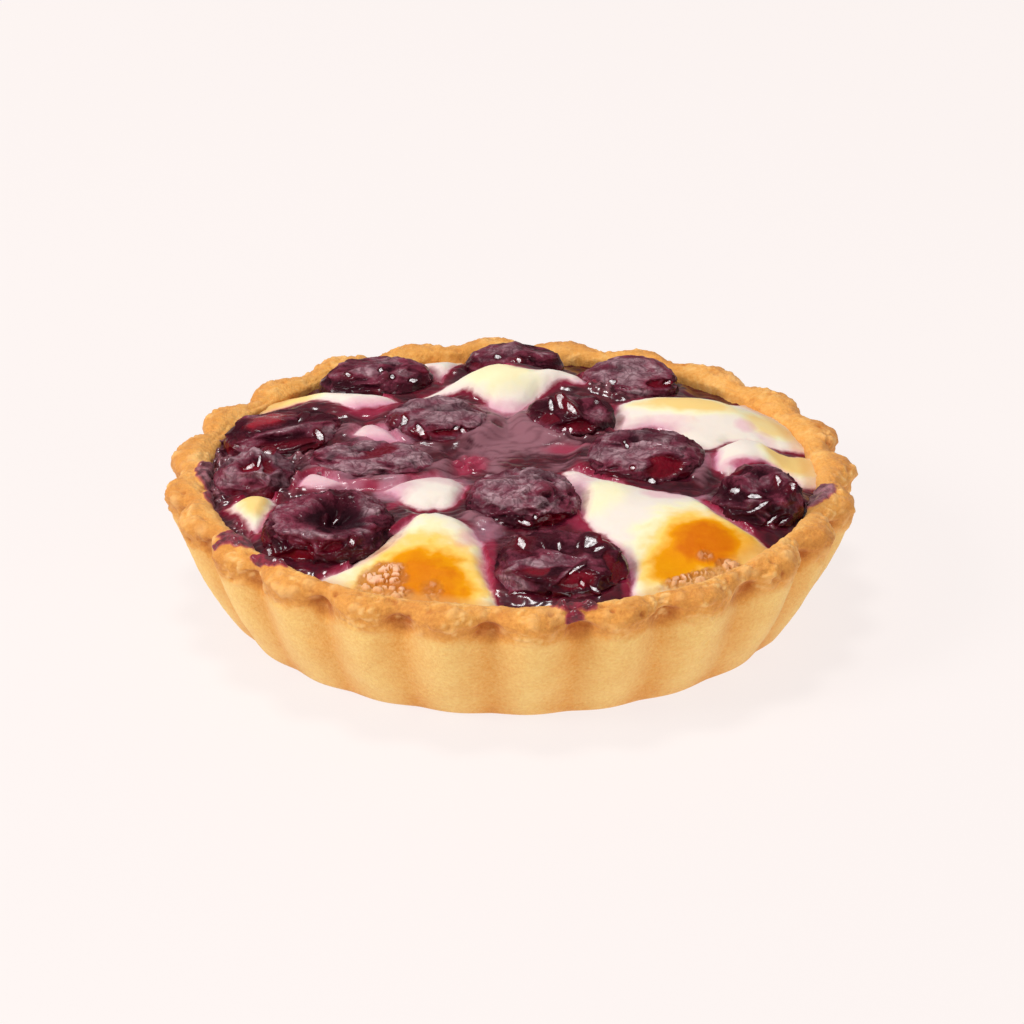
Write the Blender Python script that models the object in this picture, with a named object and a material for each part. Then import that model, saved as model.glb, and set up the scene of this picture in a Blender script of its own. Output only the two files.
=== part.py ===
"""Sour cherry tartlet, standing on its flat base.

A shortcrust case from a fluted tin 10 cm across, a custard that has risen in mounds, and
thirteen stoned sour cherries baked into it. The front is -Y, +Z is up, and the origin is the
middle of the base. A bearing is measured from the front towards +X. Sizes are in millimetres
until a mesh is made.
"""

import math

import bmesh
import bpy
import numpy as np

MM = 0.001
GAP = 0.3

# Crust case
FLUTES = 24
FIRST_TIP = 3.6
TIP_RADIUS = 50.2
BASE_RADIUS = 41.0
WALL_TOP_RADIUS = 49.4
WALL_TOP = 15.6
WALL_BULGE = 0.8
RIM_HEIGHT = 19.8
LIP_MIDDLE = 47.0
LIP_HALF_HEIGHT = 2.1
FLUTE_AT_BASE = 0.55
FLUTE_AT_WALL_TOP = 2.3
FLUTE_AT_LIP = 2.7
GROOVE_SHARPNESS = 0.72
GROOVE_DIP = 0.5
INNER_TOP = (43.7, 17.2)
INNER_MIDDLE = (41.2, 10.6)
FLOOR_EDGE = (37.0, 4.2)

# Where the rim is thinner on its inside: bearing, spread, millimetres
THIN_PLACES = ((-34.0, 20.0, 1.1), (32.0, 20.0, 1.0), (0.0, 9.0, 0.3))

# Where the flutes lie further round than an even pitch: bearing, spread, degrees
DRIFTS = ((54.0, 15.0, 3.0), (148.0, 24.0, 2.4), (-90.0, 14.0, 3.0))

# Custard
CUSTARD_EDGE = 17.9
CUSTARD_DOME = 2.3
CUSTARD_TILT = 0.02
CUSTARD_SIDES = 64
CUSTARD_RINGS = 15

# Mounds of custard: name, X, Y, half width, half depth, turn, height
MOUNDS = (
    ("front_left", -12.1, -28.0, 9.5, 11.5, 8, 1.9),
    ("front_left_peak", -10.8, -22.5, 6.0, 4.8, 0, 1.1),
    ("front_right", 25.2, -19.5, 14.5, 8.0, -24, 2.0),
    ("front_right_shoulder", 12.7, -11.5, 5.5, 6.0, -24, 1.2),
    ("right", 34.3, 3.4, 5.2, 5.6, 0, 2.4),
    ("back_right", 27.7, 17.5, 12.5, 6.0, -4, 2.4),
    ("back", -0.6, 27.0, 8.0, 5.0, 8, 3.9),
    ("back_arm", 10.2, 25.5, 6.0, 4.0, -6, 1.8),
    ("back_far", -11.5, 36.0, 5.0, 4.5, 0, 1.6),
    ("back_left", -26.8, 22.3, 11.0, 4.8, -8, 2.0),
    ("left_pink", -20.3, 9.6, 4.8, 3.6, 0, 1.2),
    ("left_low", -27.9, -6.0, 4.6, 3.2, -15, 1.1),
    ("left_edge", -37.5, -12.8, 3.2, 4.0, 0, 1.6),
    ("middle_left", -11.5, -10.6, 6.2, 4.8, 10, 1.4),
)

# Cherries: name, X, Y, height of the middle, half width, half depth, rise, drop, turn,
# and the stone hole's bearing, lean from upright, size and depth
CHERRIES = (
    ("cherry_front_left", -25.3, -21.4, 18.6, 10.5, 10.3, 5.6, 6.0, 10, (28, 20, 0.42, 0.50)),
    ("cherry_front_centre", 6.4, -32.4, 18.4, 10.4, 9.4, 4.3, 6.0, 0, (10, 14, 0.62, 0.22)),
    ("cherry_centre", 1.6, -13.9, 19.9, 8.9, 8.5, 4.6, 6.0, 15, (200, 30, 0.40, 0.10)),
    ("cherry_right", 35.1, -11.8, 18.5, 7.0, 8.8, 5.9, 6.0, -18, (30, 24, 0.42, 0.22)),
    ("cherry_mid_right", 19.2, 1.4, 20.1, 9.3, 8.4, 3.8, 6.0, 0, (-30, 20, 0.45, 0.14)),
    ("cherry_upper_mid_right", 8.6, 15.2, 20.3, 7.3, 6.5, 3.4, 5.5, 0, (60, 30, 0.36, 0.12)),
    ("cherry_upper_mid_left", -10.9, 14.3, 20.2, 8.3, 7.1, 3.2, 5.5, 0, (-60, 15, 0.50, 0.10)),
    ("cherry_left_mid", -20.3, 0.8, 19.8, 10.2, 6.6, 2.4, 6.0, -6, (20, 10, 0.50, 0.12)),
    ("cherry_left_upper", -33.0, 11.9, 19.2, 9.9, 7.8, 3.1, 6.0, 24, (150, 12, 0.55, 0.18)),
    ("cherry_left", -36.7, -2.9, 18.8, 6.5, 6.1, 3.9, 5.5, 0, (90, 25, 0.42, 0.16)),
    ("cherry_back_left", -20.1, 30.3, 20.0, 9.2, 6.8, 3.1, 6.0, 18, (180, 30, 0.40, 0.10)),
    ("cherry_back_centre", 0.2, 35.8, 20.0, 7.9, 6.1, 3.5, 6.0, 0, (120, 30, 0.40, 0.12)),
    ("cherry_back_right", 17.7, 30.6, 20.0, 7.8, 6.9, 3.0, 6.0, -16, (90, 24, 0.42, 0.12)),
)


def place(bearing, radius):
    """Point of a bearing in degrees, measured from the front towards +X."""
    angle = np.radians(bearing)
    return radius * np.sin(angle), -radius * np.cos(angle)


def bump(x, y, middle_x, middle_y, half_width, half_depth, turn):
    """1 in the middle of a turned oval, falling smoothly to 0 outside it."""
    c, s = math.cos(math.radians(turn)), math.sin(math.radians(turn))
    along = ((x - middle_x) * c + (y - middle_y) * s) / half_width
    across = ((y - middle_y) * c - (x - middle_x) * s) / half_depth
    return np.exp(-((along**2 + across**2) ** 1.35))


def around(bearing, places):
    """Sum of soft bumps at bearings: each is a bearing, a spread and a height."""
    turned = (bearing + 180.0) % 360.0 - 180.0
    return sum(far * np.exp(-(((turned - at) / spread) ** 2)) for at, spread, far in places)


def flute(bearing):
    """1 on a flute's tip and 0 in a groove."""
    drift = around(bearing, DRIFTS)
    wave = 0.5 + 0.5 * np.cos(np.radians(FLUTES * (bearing - drift - FIRST_TIP)))
    return wave**GROOVE_SHARPNESS


def wobble(bearing, phase):
    """Slow unevenness of hand-pressed pastry, about -1 to 1."""
    a = np.radians(bearing)
    slow = 0.45 * np.sin(3 * a + phase) + 0.3 * np.sin(5 * a + 2.1 * phase)
    return slow + 0.25 * np.sin(11 * a + 3.7 * phase)


def crust_stations():
    """Radius at a tip, height and flute depth: out over the base, up the wall, over the lip, in."""
    stations = [(BASE_RADIUS - 0.5, 0.0, FLUTE_AT_BASE)]
    for share in (0.05, 0.34, 0.64, 1.0):
        radius = BASE_RADIUS + (WALL_TOP_RADIUS - BASE_RADIUS) * share
        radius += WALL_BULGE * math.sin(math.pi * share)
        depth = FLUTE_AT_BASE + (FLUTE_AT_WALL_TOP - FLUTE_AT_BASE) * share
        stations.append((radius, WALL_TOP * share, depth))
    half_width = TIP_RADIUS - LIP_MIDDLE
    for angle in (-28, 5, 38, 68, 100, 130, 158):
        a = math.radians(angle)
        radius = LIP_MIDDLE + half_width * math.cos(a)
        height = RIM_HEIGHT - LIP_HALF_HEIGHT * (1.0 - math.sin(a))
        depth = FLUTE_AT_LIP * (0.5 + 0.5 * math.cos(a + 0.4)) ** 0.7
        stations.append((radius, height, depth))
    for radius, height in (INNER_TOP, INNER_MIDDLE, FLOOR_EDGE):
        stations.append((radius, height, 0.0))
    return stations


def crust_columns():
    """Bearings of the crust's columns, closer together in each groove."""
    pitch = 360.0 / FLUTES
    shares = (0.0, 0.12, 0.28, 0.5, 0.72, 0.88)
    return np.array([(k - 0.5 + s) * pitch + FIRST_TIP for k in range(FLUTES) for s in shares])


def new_object(name, mesh_data, color, roughness, smooth_angle=40):
    """Object of a bmesh, scaled to metres, smooth but for its sharper edges."""
    bmesh.ops.recalc_face_normals(mesh_data, faces=mesh_data.faces)
    bmesh.ops.scale(mesh_data, vec=(MM, MM, MM), verts=mesh_data.verts)
    mesh = bpy.data.meshes.new(name)
    mesh_data.to_mesh(mesh)
    mesh_data.free()
    mesh.shade_smooth()
    mesh.set_sharp_from_angle(angle=math.radians(smooth_angle))
    thing = bpy.data.objects.new(name, mesh)
    bpy.context.collection.objects.link(thing)
    if color is not None:
        material = bpy.data.materials.new(name)
        material.use_nodes = True
        shader = material.node_tree.nodes["Principled BSDF"]
        shader.inputs["Base Color"].default_value = (*color, 1.0)
        shader.inputs["Roughness"].default_value = roughness
        shader.inputs["Metallic"].default_value = 0.0
        mesh.materials.append(material)
    return thing


def loft(mesh_data, rings):
    """Closed skin over rings of points, with a flat cap on the first and the last."""
    loops = [[mesh_data.verts.new(point) for point in ring] for ring in rings]
    count = len(loops[0])
    for low, high in zip(loops, loops[1:]):
        for k in range(count):
            mesh_data.faces.new((low[k], low[(k + 1) % count], high[(k + 1) % count], high[k]))
    mesh_data.faces.new(loops[0])
    mesh_data.faces.new(loops[-1])


def make_crust():
    """Fluted case: the outline at every bearing, pushed in at the grooves."""
    bearing = crust_columns()
    rings = []
    for radius, height, depth in crust_stations():
        high = min(height / RIM_HEIGHT, 1.0)
        outside = 1.0 if depth > 0 else 0.0
        r = radius - depth * (1.0 - flute(bearing)) + 0.4 * high * outside * wobble(bearing, 1.3)
        z = height + 0.35 * high**3 * outside * wobble(bearing, 4.4)
        z -= GROOVE_DIP * high**8 * outside * (1.0 - flute(bearing))
        if radius < LIP_MIDDLE:
            r = r + around(bearing, THIN_PLACES) * min(max((height - 17.0) / 1.4, 0.0), 1.0)
        x, y = place(bearing, r)
        rings.append(np.stack([x, y, z], axis=1))
    mesh_data = bmesh.new()
    loft(mesh_data, rings)
    return new_object("crust", mesh_data, (0.78, 0.48, 0.17), 0.75)


def custard_height(x, y):
    """Height of the custard's skin: a low dome, its mounds, and a dip where each cherry lies."""
    reach = np.clip(np.hypot(x, y) / INNER_TOP[0], 0.0, 1.0)
    z = CUSTARD_EDGE + (CUSTARD_DOME + CUSTARD_TILT * y) * (1.0 - reach**3.2)
    edge = np.clip((1.0 - reach) / 0.16, 0.0, 1.0)
    for _, mx, my, half_width, half_depth, turn, height in MOUNDS:
        z = z + (0.35 + 0.65 * edge) * height * bump(x, y, mx, my, half_width, half_depth, turn)
    for _, cx, cy, cz, half_width, half_depth, _, _, turn, _ in CHERRIES:
        sunk = bump(x, y, cx, cy, 0.95 * half_width, 0.95 * half_depth, turn)
        z = z + (cz - 0.6 - z) * np.clip(2.0 * sunk - 0.4, 0, 1)
    return z


def make_custard():
    """Filling: a domed disc 0.3 mm clear of the case, before the cherries are let into it."""
    bearing = np.arange(CUSTARD_SIDES) * 360.0 / CUSTARD_SIDES
    rings = []
    for radius, height in (FLOOR_EDGE, INNER_MIDDLE):
        x, y = place(bearing, radius - 1.6 * GAP)
        rings.append(np.stack([x, y, np.full_like(x, height + 1.2 * GAP)], axis=1))
    for share in np.linspace(1.0, 0.0, CUSTARD_RINGS, endpoint=False) ** 0.9:
        x, y = place(bearing, (INNER_TOP[0] - 1.3 * GAP) * share)
        rings.append(np.stack([x, y, custard_height(x, y)], axis=1))
    mesh_data = bmesh.new()
    loft(mesh_data, rings)
    cap = max(mesh_data.faces, key=lambda face: (len(face.verts), face.calc_center_median().z))
    bmesh.ops.poke(mesh_data, faces=[cap])
    return new_object("custard", mesh_data, (0.93, 0.78, 0.52), 0.5)


def cherry_points(unit, spec):
    """Points of a cherry's skin for unit directions: a soft oval with lobes and a stone hole."""
    _, cx, cy, cz, half_width, half_depth, rise, drop, turn, hole = spec
    bearing, lean, size, depth = hole
    lean_sin, lean_cos = math.sin(math.radians(lean)), math.cos(math.radians(lean))
    hole_x, hole_y = place(bearing, lean_sin)
    away = np.arccos(np.clip(unit @ np.array([hole_x, hole_y, lean_cos]), -1, 1))
    phase = 0.37 * cx + 0.21 * cy
    angle = np.arctan2(unit[:, 1], unit[:, 0])
    lobes = 0.5 + 0.5 * np.sin(3 * angle + phase) * np.sin(2.2 * unit[:, 2] + 0.6 * phase)
    ring = np.exp(-(((away - 1.25 * size) / (0.4 * size)) ** 2))
    pit = np.exp(-((away / size) ** 4))
    scale = 1.0 - 0.06 * lobes - depth * pit - 0.05 * (1.0 - ring)
    flat = np.sign(unit[:, 2]) * np.abs(unit[:, 2]) ** 0.9
    p = np.stack([unit[:, 0] * half_width, unit[:, 1] * half_depth, flat], axis=1)
    p[:, 2] *= np.where(flat > 0, rise, drop)
    p *= scale[:, None]
    c, s = math.cos(math.radians(turn)), math.sin(math.radians(turn))
    x = cx + p[:, 0] * c - p[:, 1] * s
    y = cy + p[:, 0] * s + p[:, 1] * c
    return np.stack([x, y, cz + p[:, 2]], axis=1)


def ball(subdivisions):
    """Unit ball of triangles."""
    mesh_data = bmesh.new()
    bmesh.ops.create_icosphere(mesh_data, subdivisions=subdivisions, radius=1.0)
    return mesh_data


def gather(unit, hole):
    """Unit directions drawn closer together round a cherry's stone hole."""
    bearing, lean = hole[:2]
    side_x, side_y = place(bearing, math.sin(math.radians(lean)))
    axis = np.array([side_x, side_y, math.cos(math.radians(lean))])
    along = unit @ axis
    away = np.arccos(np.clip(along, -1, 1))
    side = unit - np.outer(along, axis)
    side /= np.maximum(np.linalg.norm(side, axis=1), 1e-9)[:, None]
    closer = np.pi * (away / np.pi) ** 1.4
    return np.outer(np.cos(closer), axis) + np.sin(closer)[:, None] * side


def make_cherry(spec):
    """Cherry, shaped from a ball of 320 triangles."""
    mesh_data = ball(3)
    unit = gather(np.array([v.co.normalized() for v in mesh_data.verts]), spec[-1])
    for vert, point in zip(mesh_data.verts, cherry_points(unit, spec)):
        vert.co = point
    return new_object(spec[0], mesh_data, (0.12, 0.015, 0.03), 0.3, 80)


def let_in(custard, spec):
    """Cut the bed of a cherry out of the custard, a little wider than the cherry."""
    _, cx, cy, cz, half_width, half_depth, rise, drop, turn, _ = spec
    mesh_data = ball(3)
    room = 1.035
    c, s = math.cos(math.radians(turn)), math.sin(math.radians(turn))
    for vert in mesh_data.verts:
        n = vert.co.normalized()
        x = n.x * (half_width * room + GAP)
        y = n.y * (half_depth * room + GAP)
        z = math.copysign(abs(n.z) ** 0.9, n.z) * ((rise if n.z > 0 else drop) * room + GAP)
        vert.co = (cx + x * c - y * s, cy + x * s + y * c, cz + z)
    cutter = new_object("bed_of_" + spec[0], mesh_data, None, 0.5)
    cutter.hide_render = True
    cutter.display_type = "WIRE"
    cut = custard.modifiers.new(cutter.name, "BOOLEAN")
    cut.operation = "DIFFERENCE"
    cut.solver = "EXACT"
    cut.object = cutter


def main():
    for thing in list(bpy.data.objects):
        bpy.data.objects.remove(thing, do_unlink=True)
    make_crust()
    custard = make_custard()
    for spec in CHERRIES:
        make_cherry(spec)
        let_in(custard, spec)


main()
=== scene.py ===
"""Looks of the sour cherry tartlet: shortcrust, toasted custard, wrinkled cherries and juice.

Forms are worked out in millimetres, in the frame of the solids: +Z up, the front at -Y, and a
bearing measured from the front towards +X.
"""
import math

import bpy
import numpy as np
from mathutils import Matrix, Vector


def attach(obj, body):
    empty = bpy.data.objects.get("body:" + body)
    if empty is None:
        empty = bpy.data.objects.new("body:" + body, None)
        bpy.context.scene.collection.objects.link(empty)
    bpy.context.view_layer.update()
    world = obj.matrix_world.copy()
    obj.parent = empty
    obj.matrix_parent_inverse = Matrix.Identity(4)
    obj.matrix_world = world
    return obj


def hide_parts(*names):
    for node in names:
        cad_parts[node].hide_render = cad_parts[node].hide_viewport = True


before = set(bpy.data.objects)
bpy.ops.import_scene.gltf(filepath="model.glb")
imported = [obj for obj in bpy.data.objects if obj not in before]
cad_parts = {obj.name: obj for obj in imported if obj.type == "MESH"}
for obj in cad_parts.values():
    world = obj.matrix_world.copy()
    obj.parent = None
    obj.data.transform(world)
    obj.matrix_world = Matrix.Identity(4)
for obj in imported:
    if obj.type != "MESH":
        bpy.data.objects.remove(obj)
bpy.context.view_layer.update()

MM = 0.001

# Crust case; places on it are bearing, spread and reach
FLUTES = 24
FIRST_TIP = 3.6
TIP_RADIUS = 50.2
BASE_RADIUS = 41.0
WALL_TOP_RADIUS = 49.4
WALL_TOP = 15.6
WALL_BULGE = 0.8
RIM_HEIGHT = 19.8
LIP_MIDDLE = 47.0
LIP_HALF_HEIGHT = 2.1
FLUTE_AT_BASE = 0.55
FLUTE_AT_WALL_TOP = 2.3
FLUTE_AT_LIP = 2.7
GROOVE_SHARPNESS = 0.72
GROOVE_DIP = 0.5
THIN_PLACES = ((-34.0, 20.0, 1.1), (32.0, 20.0, 1.0), (0.0, 9.0, 0.3))
INNER_TOP = (43.7, 17.2)
INNER_MIDDLE = (41.2, 10.6)
FLOOR_EDGE = (37.0, 4.2)
DRIFTS = ((54.0, 15.0, 3.0), (148.0, 24.0, 2.4), (-90.0, 14.0, 3.0))
DIMPLE_HEIGHT = 16.6
CRAG_EDGE = 14.6
CRAG_HEIGHT = 0.25
LUMP_HEIGHT = 0.35
PIT_DEPTH = 0.3
DIMPLE_DEPTH = 0.7
RIM_BAKE = 0.5
INSIDE_BAKE = 0.4
# Painted shade in the dimples under the lip
DIMPLE_SHADE = 0.33
# Hollow in the rim's inside: bearing, height, half width in degrees, half height, turn
RIM_HOLLOW = (135.6, 16.6, 2.0, 0.9, 0)
# Juice over the rim: X, Y, half width, half depth, turn, lowest height, strength, dullness
RIM_JUICE = (
    (8.6, -45.4, 3, 2.4, 0, 18.6, 1, 0), (8.8, -48.6, 1.5, 2.6, 0, 17.2, 0.9, 0),
    (43.6, -9.2, 2.2, 3.8, -30, 18.2, 0.9, 0.75), (-38.8, -24.6, 3.2, 2, -55, 18.2, 0.9, 0.3),
    (-41, -25.4, 1.4, 1.2, -50, 18.2, 0.8, 0.2), (-33.8, -32, 3.8, 0.8, -44, 18.2, 1, 0),
    (-43.7, -1.3, 1.9, 4.4, 4, 17, 0.9, 0.6), (-42.8, -7.4, 1.3, 3.2, -10, 17, 0.8, 0.4),
)
CRUST_COLUMNS = 912
CRUST_ROWS = 104

# Custard
CUSTARD_EDGE = 17.9
CUSTARD_DOME = 2.3
CUSTARD_TILT = 0.02
CUSTARD_GRID = 306
CUSTARD_OVERLAP = 1.1
SHORE_STEP = 0.8
JUICE_DROP = 0.5
BEAD_HEIGHT = 0.9
FLAKE_HEIGHT = 0.9
UNDER_CHERRY_DROP = 4.5

# Mounds of custard: X, Y, half width, half depth, turn, height
MOUNDS = {
    "front_left": (-12.1, -28, 9.5, 11.5, 8, 1.9),
    "front_left_peak": (-10.8, -22.5, 6, 4.8, 0, 1.1),
    "front_right": (25.2, -19.5, 14.5, 8, -24, 2),
    "front_right_shoulder": (12.7, -11.5, 5.5, 6, -24, 1.2),
    "right": (34.3, 3.4, 5.2, 5.6, 0, 2.4),
    "back_right": (27.7, 17.5, 12.5, 6, -4, 2.4),
    "back": (-0.6, 27, 8, 5, 8, 3.9),
    "back_arm": (10.2, 25.5, 6, 4, -6, 1.8),
    "back_far": (-11.5, 36, 5, 4.5, 0, 1.6),
    "back_left": (-26.8, 22.3, 11, 4.8, -8, 2),
    "left_pink": (-20.3, 9.6, 4.8, 3.6, 0, 1.2),
    "left_low": (-27.9, -6, 4.6, 3.2, -15, 1.1),
    "left_edge": (-37.5, -12.8, 3.2, 4, 0, 1.6),
    "middle_left": (-11.5, -10.6, 6.2, 4.8, 10, 1.4),
}

# Cherries: name, X, Y, height of the middle, half width, half depth, rise, drop, turn,
# and the stone hole's bearing, lean from upright, size and depth
CHERRIES = (
    ("front_left", -25.3, -21.4, 18.6, 10.5, 10.3, 5.6, 6, 10, (28, 20, 0.42, 0.5)),
    ("front_centre", 6.4, -32.4, 18.4, 10.4, 9.4, 4.3, 6, 0, (10, 14, 0.62, 0.22)),
    ("centre", 1.6, -13.9, 19.9, 8.9, 8.5, 4.6, 6, 15, (200, 30, 0.4, 0.1)),
    ("right", 35.1, -11.8, 18.5, 7, 8.8, 5.9, 6, -18, (30, 24, 0.42, 0.22)),
    ("mid_right", 19.2, 1.4, 20.1, 9.3, 8.4, 3.8, 6, 0, (-30, 20, 0.45, 0.14)),
    ("upper_mid_right", 8.6, 15.2, 20.3, 7.3, 6.5, 3.4, 5.5, 0, (60, 30, 0.36, 0.12)),
    ("upper_mid_left", -10.9, 14.3, 20.2, 8.3, 7.1, 3.2, 5.5, 0, (-60, 15, 0.5, 0.1)),
    ("left_mid", -20.3, 0.8, 19.8, 10.2, 6.6, 2.4, 6, -6, (20, 10, 0.5, 0.12)),
    ("left_upper", -33, 11.9, 19.2, 9.9, 7.8, 3.1, 6, 24, (150, 12, 0.55, 0.18)),
    ("left", -36.7, -2.9, 18.8, 6.5, 6.1, 3.9, 5.5, 0, (90, 25, 0.42, 0.16)),
    ("back_left", -20.1, 30.3, 20, 9.2, 6.8, 3.1, 6, 18, (180, 30, 0.4, 0.1)),
    ("back_centre", 0.2, 35.8, 20, 7.9, 6.1, 3.5, 6, 0, (120, 30, 0.4, 0.12)),
    ("back_right", 17.7, 30.6, 20, 7.8, 6.9, 3, 6, -16, (90, 24, 0.42, 0.12)),
)
CHERRY_GRID = 144
CHERRY_REACH = 1.95
CREASE_HEIGHT = 0.65
SWELL_HEIGHT = 0.35
FACET_REACH = 0.8

# Places where custard shows through the juice: corners of the shore
PATCHES = {
    "front_left": (
        (-27.3, -34.2), (-23.1, -30.8), (-19.1, -26.8), (-15.2, -22.3), (-13, -20.1),
        (-10.6, -19.6), (-8, -21.1), (-5.5, -23.6), (-3.9, -27.7), (-3.5, -31.8), (-2.9, -36.9),
        (-1.7, -42.9), (-3, -53.6), (-15.3, -53.6), (-28, -40.8)),
    "front_right": (
        (7.3, -2.4), (9.5, -0.7), (11.8, -2.5), (13.5, -5.9), (16.6, -8.5), (19.7, -9),
        (22.9, -9.8), (25.7, -10.6), (27.6, -13.6), (30.9, -18.3), (33.6, -20.7), (35.3, -22.9),
        (36.1, -24.3), (36.9, -29.3), (28.7, -44), (17.5, -53.6), (16, -42.1), (16.3, -37),
        (15.9, -32.2), (14.9, -26.8), (12.4, -22.5), (10.2, -19.5), (9.1, -15.5), (8.4, -10.3)),
    "right": (
        (28.4, 2.6), (30.2, 5.2), (32.3, 7.3), (34.6, 7.8), (37.4, 6.4), (41, 7.6), (45.6, 9),
        (45.6, -2), (41.5, -3.7), (40.5, -1.4), (38.4, -0.2), (36.1, 0.5), (33.5, -1.1),
        (31.1, -2.8), (29, -1.1)),
    "back_right": (
        (13.8, 15.3), (15, 19.3), (16.8, 21.6), (19.6, 22.6), (23, 23.2), (26.3, 23.2),
        (30.5, 25.5), (34.5, 27.5), (40, 22), (43, 14), (43.6, 9.6), (38.5, 9.2), (35, 9.4),
        (31.8, 8.9), (29.3, 5.5), (27.3, 5.6), (25.6, 8.6), (23.4, 11.6), (20.2, 12.7),
        (17, 12.2), (14.9, 11.4)),
    "back": (
        (-15.3, 21.4), (-13, 24.6), (-10.7, 26.9), (-8.3, 28.6), (-5.6, 29.3), (-3.3, 29.9),
        (-1.2, 29.6), (0.7, 28.1), (3.3, 27.4), (5.9, 28.6), (8.3, 31.2), (10.5, 34.1),
        (12.2, 32), (12.5, 28.1), (11, 25.5), (8, 25.7), (5.3, 23.8), (3.2, 20.9), (0.9, 18.2),
        (-1.8, 18.2), (-4.1, 21.3), (-6.8, 23.9), (-9.8, 24.3), (-12.4, 23)),
    "back_far": (
        (-15.6, 37.9), (-13.5, 40.2), (-11.5, 42.6), (-9.1, 43.8), (-6.9, 43.2), (-7.5, 37.2),
        (-9.3, 33.5), (-10.7, 29.8), (-12.5, 33.6), (-14.2, 36.3)),
    "back_left": (
        (-40.2, 22.1), (-38, 25.9), (-35.1, 28.3), (-32.1, 29.5), (-29.4, 28.2), (-27, 26.4),
        (-23.7, 25.5), (-19.8, 24.8), (-17.7, 23), (-16.5, 21.1), (-18.6, 19.6), (-20.6, 19.4),
        (-22.9, 18.3), (-25.3, 19.3), (-28, 21.2), (-31.3, 23.1), (-34.3, 23.5), (-37, 23.1),
        (-39.2, 19.9)),
    "left_pink": (
        (-23.3, 9.6), (-22.5, 12.7), (-21.1, 14.7), (-19, 13.3), (-16.9, 10.3), (-15.9, 7.6),
        (-18, 6.3), (-20.9, 7.3)),
    "left_low": (
        (-31.1, -7.3), (-30.9, -3.5), (-29.7, -2.4), (-27.6, -2.7), (-25.6, -4.5), (-23.8, -6.7),
        (-25.8, -7.5), (-28.7, -7.8)),
    "left_edge": (
        (-41.1, -10.9), (-39.2, -9), (-37, -7.5), (-34.7, -6.1), (-34, -7.5), (-33.7, -11),
        (-34.4, -14.4), (-35.2, -18), (-36.1, -20.5), (-37.6, -17.8), (-38.9, -14.2),
        (-40.2, -12.3)),
    "middle_left": (
        (-18.3, -8.3), (-16.6, -6.6), (-14.5, -5.1), (-11.8, -4.2), (-9.5, -4.5), (-7.5, -5.7),
        (-6.4, -9), (-6.7, -12.9), (-8.5, -15.5), (-10.8, -16.1), (-13.3, -16.7), (-15.1, -14.9),
        (-16.5, -11.6)),
}

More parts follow.
